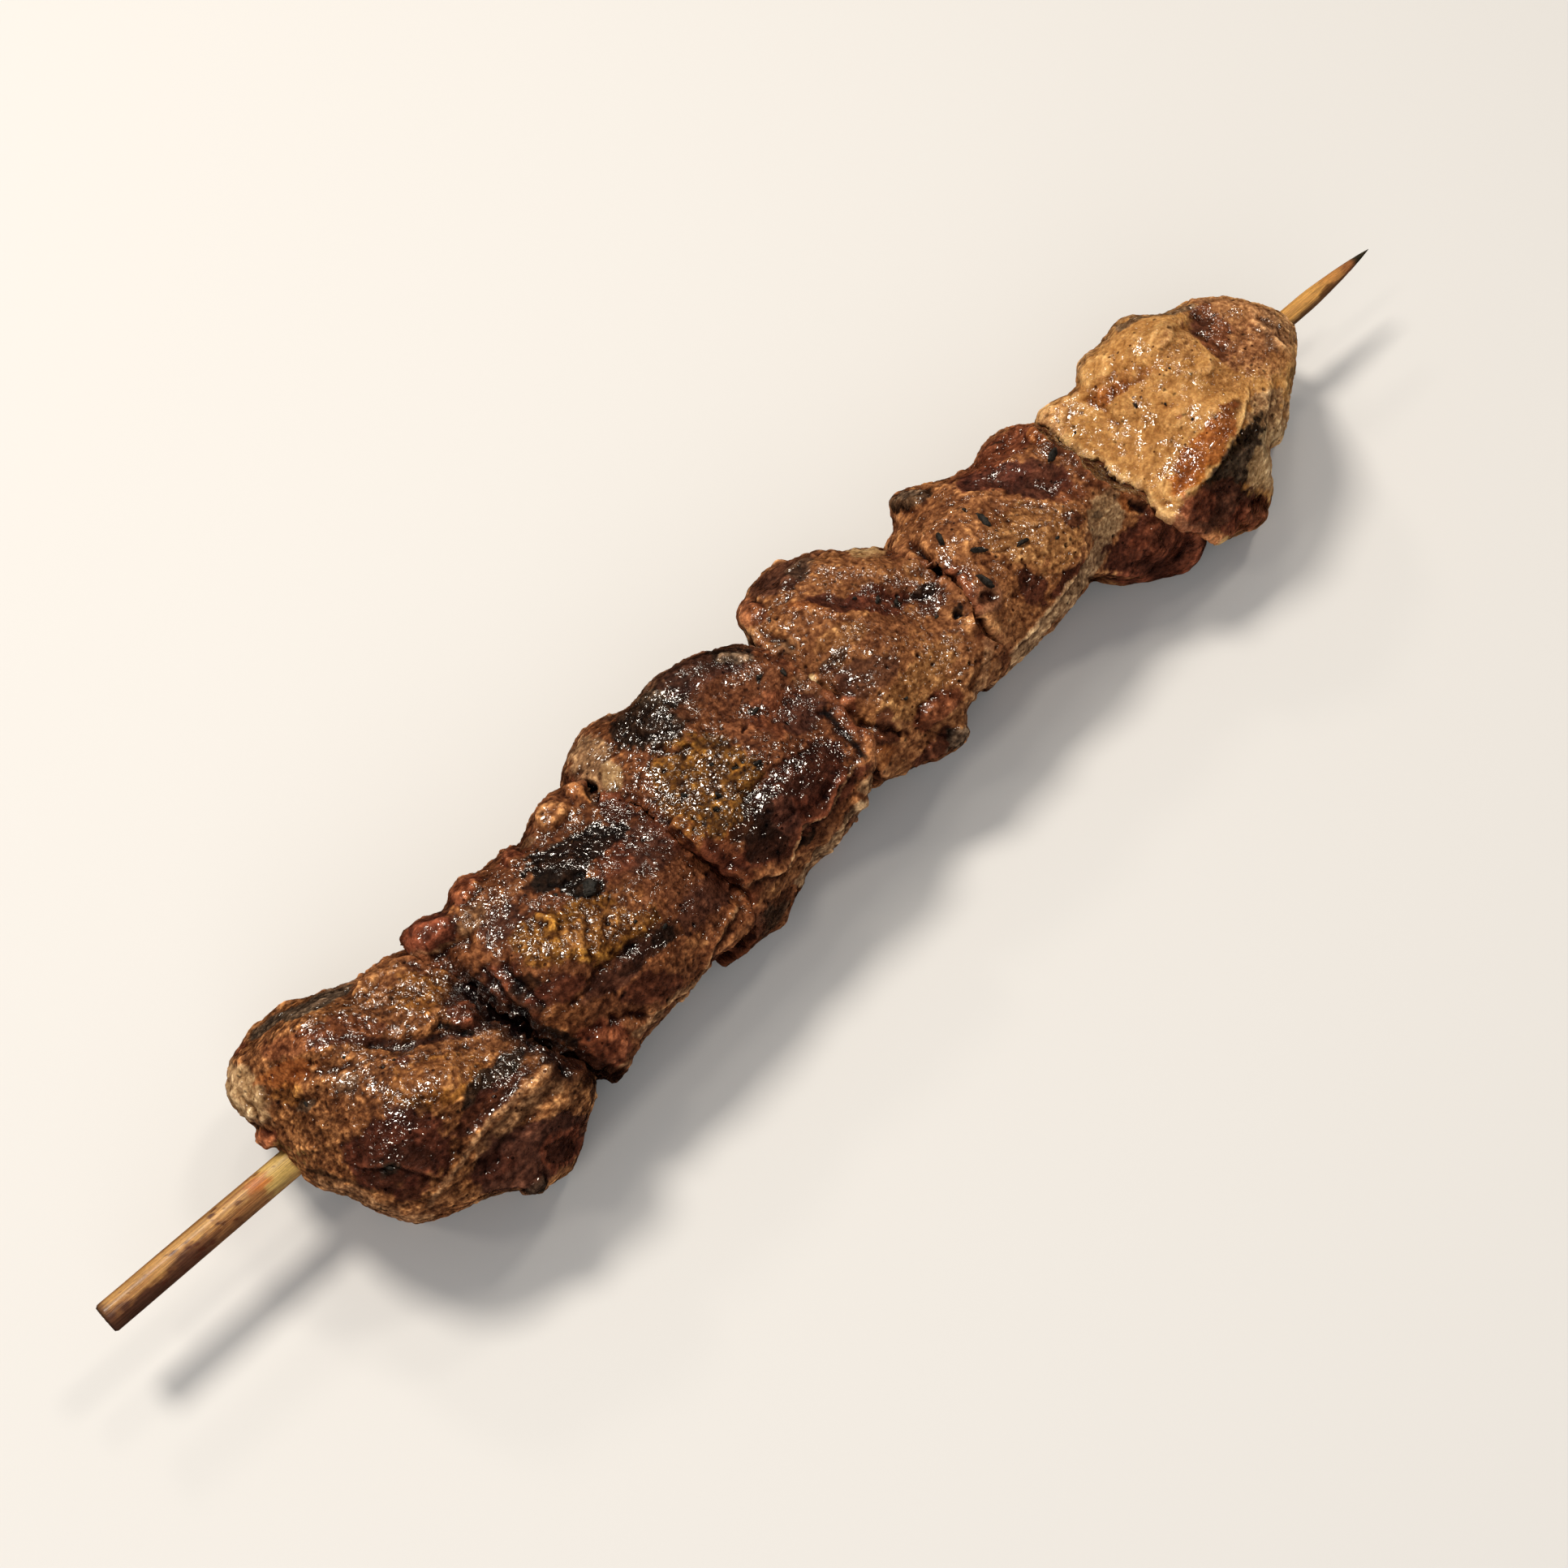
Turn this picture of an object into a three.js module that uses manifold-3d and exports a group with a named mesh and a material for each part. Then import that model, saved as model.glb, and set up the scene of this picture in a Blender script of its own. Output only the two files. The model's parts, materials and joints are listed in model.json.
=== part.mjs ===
// Lamb shish kebab: six grilled chunks of lamb threaded on a bamboo skewer.
//
// Units are millimetres, +Z is up. The skewer lies along X, butt end at -X and
// sharpened end at +X. The origin is under the middle of the skewer, on the
// surface that the kebab lies on. Each chunk of meat is one solid with a bore
// for the skewer, cut from flat facets that are blended into each other, and
// it rests on a small flat spot on its underside.
import * as THREE from 'three';
import { mergeVertices } from 'three/addons/utils/BufferGeometryUtils.js';
import Module from 'manifold-3d';

// ---------------------------------------------------------------- dimensions
const SKEWER_LENGTH = 250;      // bamboo skewer, end to end
const SKEWER_BUTT_D = 4.08;     // its diameter at the butt end
const SKEWER_NECK_D = 2.92;     // its diameter where the point begins
const POINT_LENGTH = 16;        // sharpened length
const SKEWER_SIDES = 16;
const AXIS_HEIGHT = 14;         // skewer's axis above the surface
const CENTRE_Y = 1.7;           // skewer's axis from the middle of the width
const BORE_CLEARANCE = 0.3;     // bore in the meat, wider than the skewer all round
const JOIN_GAP = 0.15;          // half of the gap between neighbouring chunks
const SPUR_GAP = 0.9;           // gap round the spur that reaches under a neighbour
const FACET_BLEND = 5;          // rounding between the facets of a chunk
const EDGE_BLEND = 2.5;         // rounding at the outline
const JOIN_BLEND = 3.5;         // rounding where a chunk meets its neighbour
const LUMP = 0.55;              // height of the slow swells in the surface
const RING_DETAIL = 7;          // subdivision of the chunks' meshes
const EVENING_PASSES = 3;       // passes that even out their vertices

// The planes where neighbouring chunks meet, as x = x0 + a*y + b*(z - axis).
const JOINS = [
  [-63.5, -0.17, -0.4],
  [-35.2, -0.14, 0.08],
  [-3.8, -0.03, -0.06],
  [23.8, 0.1, -0.21],
  [61.2, 0, -0.8],
];

// The outline of each chunk leans: it is the section, at the skewer's height,
// of a slanted cone with its peak here.
const PEAK = new THREE.Vector3(-139.15, -129.95, 299.15);

// Each chunk: its centre on the plan; its facets as [direction round Z,
// elevation, distance from the centre]; the radii of its outline at equal
// angles from +X; its rounded lobes and spurs as
// [x, y, z, x, y, z, radius, blend] from one end to the other.
const CHUNKS = [
  {
    // long fibrous end piece, its near side flaring out to a low skirt
    name: 'chunk_1', color: '#6a3f28', roughness: 0.5, centre: [-80, -4],
    faces: [
      [10, 76, 14], [-150, 62, 15.5], [-100, 40, 17.5], [-90, 14, 20.5], [-88, -38, 21.5],
      [-55, 10, 27], [95, 42, 17.5], [90, 0, 21.5], [95, -38, 18.5], [180, 5, 16.6],
      [172, 45, 16.6], [185, -42, 17], [125, 10, 23], [-135, 12, 18.8], [40, -82, 14.3],
    ],
    outline: [22.5, 23.4, 26.4, 21.5, 19.2, 20.6, 27.1, 25.3, 20.1, 16.9, 16.4, 14.8, 15.6, 16.9, 16.8, 18, 23.2, 23.1, 24.1, 22.5],
    lobes: [[-94.5, 6.5, 10.5, -91, 6, 10.5, 2.6, 3]],
    spurs: [],
  },
  {
    // square-cut piece with a small flap on its far lower corner
    name: 'chunk_2', color: '#5f3826', roughness: 0.5, centre: [-49.5, -2.5],
    faces: [
      [70, 80, 14.5], [-60, 60, 16.5], [-95, 36, 18], [-90, 4, 18.6], [-85, -38, 18.5],
      [95, 45, 17], [90, 0, 19], [95, -40, 17.5], [-160, 50, 19], [-60, -80, 14.2],
    ],
    outline: [26.6, 26.9, 27.3, 24.5, 17.7, 17.3, 18.3, 20.3, 31.5, 18.8, 19.8, 20.6, 24.8, 24.8, 18, 16.3, 16.1, 17.8, 24.9, 27.8],
    lobes: [[-62.3, 17.5, 9, -56, 11, 11, 3.2, 3]],
    spurs: [],
  },
  {
    // tallest piece, with a short tooth at its near far-end corner
    name: 'chunk_3', color: '#5a3a28', roughness: 0.5, centre: [-19.5, 0.5],
    faces: [
      [-60, 82, 15], [150, 62, 17], [-92, 44, 18], [-90, 4, 18.6], [-88, -38, 18.5],
      [100, 42, 18.5], [90, 0, 21.5], [95, -38, 18.5], [20, 55, 20], [80, -80, 14.3],
    ],
    outline: [26.6, 27.3, 25.8, 23.3, 21.3, 19.3, 22.1, 22.2, 21.4, 16.5, 16, 15.9, 22.6, 29.6, 20.8, 17.9, 18.3, 19.5, 21, 24.7],
    lobes: [[-7, -14.6, 9.5, -9, -12, 9.5, 2.2, 2]],
    spurs: [],
  },
  {
    // rounded piece with a higher near corner
    name: 'chunk_4', color: '#7a5236', roughness: 0.5, centre: [9.5, 1],
    faces: [
      [-80, 80, 13.5], [60, 60, 15.5], [-95, 38, 17], [-88, 2, 18.3], [-85, -38, 18],
      [105, 42, 18], [90, 0, 21], [95, -38, 18.5], [-170, 52, 17], [-100, -81, 14.3],
    ],
    outline: [21.8, 28.4, 22.8, 20.9, 21.4, 22.6, 19.9, 16, 16.7, 14.1, 14.3, 14.8, 22, 19.2, 18, 18.9, 16, 18.3, 25.3, 23.9],
    lobes: [],
    spurs: [],
  },
  {
    // narrow piece that grows a rounded spur under the last one
    name: 'chunk_5', color: '#714830', roughness: 0.5, centre: [42, -1.5],
    faces: [
      [-80, 80, 13.8], [100, 58, 15.5], [-85, 35, 13.2], [-88, 0, 14], [-85, -35, 15.5],
      [100, 35, 18.5], [90, 0, 20], [95, -38, 18], [60, -79, 14.2],
    ],
    outline: [24.1, 26.4, 24.6, 22.5, 17.6, 17.8, 21.8, 20.4, 23, 20.3, 22, 33.6, 20.5, 14.6, 11.8, 11, 11.1, 24.7, 31.6, 23.8],
    lobes: [],
    spurs: [[55.5, -8, 7, 62.6, -12.2, 6.4, 5.2, 3.5]],
  },
  {
    // pale, fatty end piece that tapers to the point of the skewer
    name: 'chunk_6', color: '#9a6c3c', roughness: 0.5, centre: [80, -0.5],
    faces: [
      [-40, 80, 15], [170, 60, 17.5], [-80, 38, 17.5], [-92, 10, 19.5], [-90, -42, 22.5],
      [95, 42, 16.8], [90, 0, 19.5], [95, -38, 17.5], [-15, 32, 21.5], [5, -5, 25],
      [0, -42, 21.5], [-150, -81, 14.3],
    ],
    outline: [23.5, 23.2, 21.5, 18.6, 19.5, 17.6, 18.1, 17.7, 25.9, 25.4, 25.6, 28.2, 28.2, 26, 21.9, 15.3, 14.4, 14.3, 15, 19.1],
    lobes: [],
    spurs: [],
  },
];

// ------------------------------------------------------------ blended solids
// Every form below is a field that is negative inside and positive outside.
const rad = THREE.MathUtils.degToRad;

function blendMax(a, b, k) {
  const h = Math.max(k - Math.abs(a - b), 0) / k;
  return Math.max(a, b) + h * h * k * 0.25;
}
const blendMin = (a, b, k) => -blendMax(-a, -b, k);

// smooth closed curve through equally spaced radii; turn runs from 0 to 1
function radiusAt(radii, turn) {
  const n = radii.length;
  const t = (((turn * n) % n) + n) % n;
  const i = Math.floor(t);
  const f = t - i;
  const [a, b, c, d] = [i + n - 1, i, i + 1, i + 2].map((j) => radii[j % n]);
  return b + 0.5 * f * (c - a + f * (2 * a - 5 * b + 4 * c - d + f * (3 * (b - c) + d - a)));
}

function outlineField(chunk, p) {
  const t = (AXIS_HEIGHT - PEAK.z) / (p.z - PEAK.z);
  const x = PEAK.x + (p.x - PEAK.x) * t - chunk.centre[0];
  const y = PEAK.y + (p.y - PEAK.y) * t - chunk.centre[1];
  return (Math.hypot(x, y) - radiusAt(chunk.outline, Math.atan2(y, x) / (2 * Math.PI))) * 0.9;
}

function capsuleField([ax, ay, az, bx, by, bz, radius], p) {
  const ab = [bx - ax, by - ay, bz - az];
  const ap = [p.x - ax, p.y - ay, p.z - az];
  const dot = ab[0] * ap[0] + ab[1] * ap[1] + ab[2] * ap[2];
  const h = THREE.MathUtils.clamp(dot / (ab[0] ** 2 + ab[1] ** 2 + ab[2] ** 2), 0, 1);
  return Math.hypot(ap[0] - h * ab[0], ap[1] - h * ab[1], ap[2] - h * ab[2]) - radius;
}

function lumps(index, p) {
  const s = 1.7 * (index + 1);
  return LUMP * (Math.sin(0.31 * p.x + 0.17 * p.y + s) * Math.cos(0.29 * p.z - 0.21 * p.y + 2 * s)
    + 0.7 * Math.sin(0.23 * p.y - 0.27 * p.x + 0.19 * p.z + 3 * s));
}

function joinField(join, p) {
  const [x0, a, b] = join;
  return (p.x - x0 - a * p.y - b * (p.z - AXIS_HEIGHT)) / Math.hypot(1, a, b);
}

function chunkField(index, p) {
  const chunk = CHUNKS[index];
  const x = p.x - chunk.centre[0];
  const y = p.y - chunk.centre[1];
  const z = p.z - AXIS_HEIGHT;
  let f = -1e3;
  for (const [turn, rise, distance] of chunk.faces) {
    const [a, e] = [rad(turn), rad(rise)];
    const side = (x * Math.cos(a) + y * Math.sin(a)) * Math.cos(e) + z * Math.sin(e) - distance;
    f = blendMax(f, side, FACET_BLEND);
  }
  f += lumps(index, p);
  for (const lobe of chunk.lobes) f = blendMin(f, capsuleField(lobe, p), lobe[7]);
  f = blendMax(f, outlineField(chunk, p), EDGE_BLEND);
  if (index < JOINS.length) f = blendMax(f, joinField(JOINS[index], p) + JOIN_GAP, JOIN_BLEND);
  if (index > 0) f = blendMax(f, -joinField(JOINS[index - 1], p) + JOIN_GAP, JOIN_BLEND);
  for (const spur of chunk.spurs) f = blendMin(f, capsuleField(spur, p), spur[7]);
  // a chunk makes room for its neighbour's spur
  if (index > 0 && CHUNKS[index - 1].spurs.length) {
    f = blendMax(f, SPUR_GAP - chunkField(index - 1, p), 1);
  }
  return f;
}

// ---------------------------------------------------------------- mesh tools
const wasm = await Module();
wasm.setup();

function toManifold(geometry) {
  const g = geometry.clone();
  g.deleteAttribute('normal');
  g.deleteAttribute('uv');
  const m = mergeVertices(g, 1e-5);
  return new wasm.Manifold(new wasm.Mesh({
    numProp: 3,
    vertProperties: new Float32Array(m.attributes.position.array),
    triVerts: new Uint32Array(m.index.array),
  }));
}

function toGeometry(solid) {
  const mesh = solid.getMesh();
  const g = new THREE.BufferGeometry();
  g.setAttribute('position', new THREE.BufferAttribute(new Float32Array(mesh.vertProperties), 3));
  g.setIndex(new THREE.BufferAttribute(new Uint32Array(mesh.triVerts), 1));
  g.computeVertexNormals();
  return g;
}

// ---------------------------------------------------------------- the skewer
// radius of the skewer at x, with a margin: it tapers evenly, then to a point
function skewerRadius(x) {
  const along = (x + SKEWER_LENGTH / 2) / SKEWER_LENGTH;
  return THREE.MathUtils.lerp(SKEWER_BUTT_D, SKEWER_NECK_D, along) / 2;
}

function skewerGeometry() {
  const half = SKEWER_LENGTH / 2;
  const neck = half - POINT_LENGTH;
  const edge = 0.35;   // worn edge of the cut butt end
  const profile = [
    [0, -half], [skewerRadius(-half) - edge, -half], [skewerRadius(-half), -half + edge],
    [skewerRadius(neck), neck], [skewerRadius(neck) * 0.86, neck + POINT_LENGTH * 0.3],
    [skewerRadius(neck) * 0.5, neck + POINT_LENGTH * 0.7], [0, half],
  ].map(([r, s]) => new THREE.Vector2(r, s));
  const g = new THREE.LatheGeometry(profile, SKEWER_SIDES);
  g.rotateZ(-Math.PI / 2);                 // lathe axis Y to X
  g.translate(0, 0, AXIS_HEIGHT);
  return g;
}

// the bore through the meat follows the skewer's taper
function boreGeometry() {
  const half = SKEWER_LENGTH / 2;
  const [r0, r1] = [-half, half].map((x) => skewerRadius(x) + BORE_CLEARANCE);
  const profile = [[0, -half], [r0, -half], [r1, half], [0, half]].map(([r, s]) => new THREE.Vector2(r, s));
  const g = new THREE.LatheGeometry(profile, SKEWER_SIDES);
  g.rotateZ(-Math.PI / 2);
  g.translate(0, 0, AXIS_HEIGHT);
  return g;
}

// ---------------------------------------------------------------- the chunks
// Vertices of a subdivided sphere are moved along their rays to the surface,
// then evened out: each ray is turned towards the mean of its neighbours.
function chunkGeometry(index) {
  const { centre } = CHUNKS[index];
  const middle = new THREE.Vector3(centre[0], centre[1], AXIS_HEIGHT);
  const sphere = new THREE.IcosahedronGeometry(1, RING_DETAIL);
  sphere.deleteAttribute('normal');
  sphere.deleteAttribute('uv');
  const g = mergeVertices(sphere, 1e-5);
  const position = g.attributes.position;
  const count = position.count;
  const neighbours = Array.from({ length: count }, () => new Set());
  for (let t = 0; t < g.index.count; t += 3) {
    const [a, b, c] = [0, 1, 2].map((k) => g.index.getX(t + k));
    neighbours[a].add(b).add(c);
    neighbours[b].add(a).add(c);
    neighbours[c].add(a).add(b);
  }
  const rays = Array.from({ length: count }, (_, i) => new THREE.Vector3().fromBufferAttribute(position, i).normalize());
  const points = rays.map(() => new THREE.Vector3());
  const field = (ray, r, p) => chunkField(index, p.copy(middle).addScaledVector(ray, r));
  const settle = (i, start) => {
    let outer = start;
    while (outer > 2 && field(rays[i], outer - 0.5, points[i]) > 0) outer -= 0.5;
    let inner = outer - 0.5;
    for (let n = 0; n < 14; n += 1) {
      const mid = (inner + outer) / 2;
      if (field(rays[i], mid, points[i]) > 0) outer = mid; else inner = mid;
    }
    points[i].copy(middle).addScaledVector(rays[i], inner);
  };
  for (let i = 0; i < count; i += 1) settle(i, 42);
  for (let pass = 0; pass < EVENING_PASSES; pass += 1) {
    const turned = points.map((p, i) => {
      const mean = new THREE.Vector3();
      neighbours[i].forEach((j) => mean.add(points[j]));
      return mean.divideScalar(neighbours[i].size).sub(middle);
    });
    turned.forEach((v, i) => {
      const reach = v.length() + 5;
      rays[i].copy(v.normalize());
      settle(i, reach);
    });
  }
  points.forEach((p, i) => position.setXYZ(i, p.x, p.y, p.z));
  return g;
}

function surfaceBlock() {
  const g = new THREE.BoxGeometry(400, 200, 60);
  g.translate(0, 0, -30);
  return g;
}

const bore = toManifold(boreGeometry());
const surface = toManifold(surfaceBlock());

const kebab = new THREE.Group();
kebab.name = 'lamb_shish_kebab';
kebab.position.y = CENTRE_Y;

const skewer = new THREE.Mesh(
  toGeometry(toManifold(skewerGeometry())),
  new THREE.MeshStandardMaterial({ color: '#b98a45', roughness: 0.6, metalness: 0 }),
);
skewer.name = 'skewer';
kebab.add(skewer);

CHUNKS.forEach((chunk, index) => {
  const solid = toManifold(chunkGeometry(index)).subtract(bore).subtract(surface);
  const mesh = new THREE.Mesh(
    toGeometry(solid),
    new THREE.MeshStandardMaterial({ color: chunk.color, roughness: chunk.roughness, metalness: 0 }),
  );
  mesh.name = chunk.name;
  kebab.add(mesh);
});

export default kebab;
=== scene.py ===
import bpy
import math
import json
import numpy as np
from mathutils import Matrix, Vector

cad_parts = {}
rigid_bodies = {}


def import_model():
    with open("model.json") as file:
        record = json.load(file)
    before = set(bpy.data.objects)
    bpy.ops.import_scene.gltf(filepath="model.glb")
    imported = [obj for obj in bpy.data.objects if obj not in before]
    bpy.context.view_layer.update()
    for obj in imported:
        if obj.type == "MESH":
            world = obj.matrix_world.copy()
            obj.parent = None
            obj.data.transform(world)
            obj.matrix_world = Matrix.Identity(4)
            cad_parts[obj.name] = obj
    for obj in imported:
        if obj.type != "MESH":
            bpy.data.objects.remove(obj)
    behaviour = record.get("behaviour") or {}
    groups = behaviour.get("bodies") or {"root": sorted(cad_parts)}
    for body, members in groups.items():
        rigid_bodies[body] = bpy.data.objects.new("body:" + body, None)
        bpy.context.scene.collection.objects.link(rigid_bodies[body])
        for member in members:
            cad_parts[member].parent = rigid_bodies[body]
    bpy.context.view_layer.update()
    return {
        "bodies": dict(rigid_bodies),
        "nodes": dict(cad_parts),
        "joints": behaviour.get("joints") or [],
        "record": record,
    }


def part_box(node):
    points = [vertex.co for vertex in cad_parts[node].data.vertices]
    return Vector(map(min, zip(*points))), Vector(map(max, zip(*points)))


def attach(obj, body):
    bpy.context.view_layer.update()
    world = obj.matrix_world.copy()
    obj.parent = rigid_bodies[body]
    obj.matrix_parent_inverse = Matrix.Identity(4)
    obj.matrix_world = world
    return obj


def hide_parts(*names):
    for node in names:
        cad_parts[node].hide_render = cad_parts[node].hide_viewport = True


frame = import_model()

# The meat is worked out in millimetres in a local frame: x from the middle of
# the skewer, y from the skewer's axis, z from the surface. The frame says where
# that is.
sk_lo, sk_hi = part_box("skewer")
OFF = np.array([(sk_lo.x + sk_hi.x) / 2, (sk_lo.y + sk_hi.y) / 2, 0.0]) * 1000
AXIS = (sk_lo.z + sk_hi.z) / 2 * 1000
SK_HALF = (sk_hi.x - sk_lo.x) / 2 * 1000
SK_R = (sk_hi.z - sk_lo.z) / 2 * 1000

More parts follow.
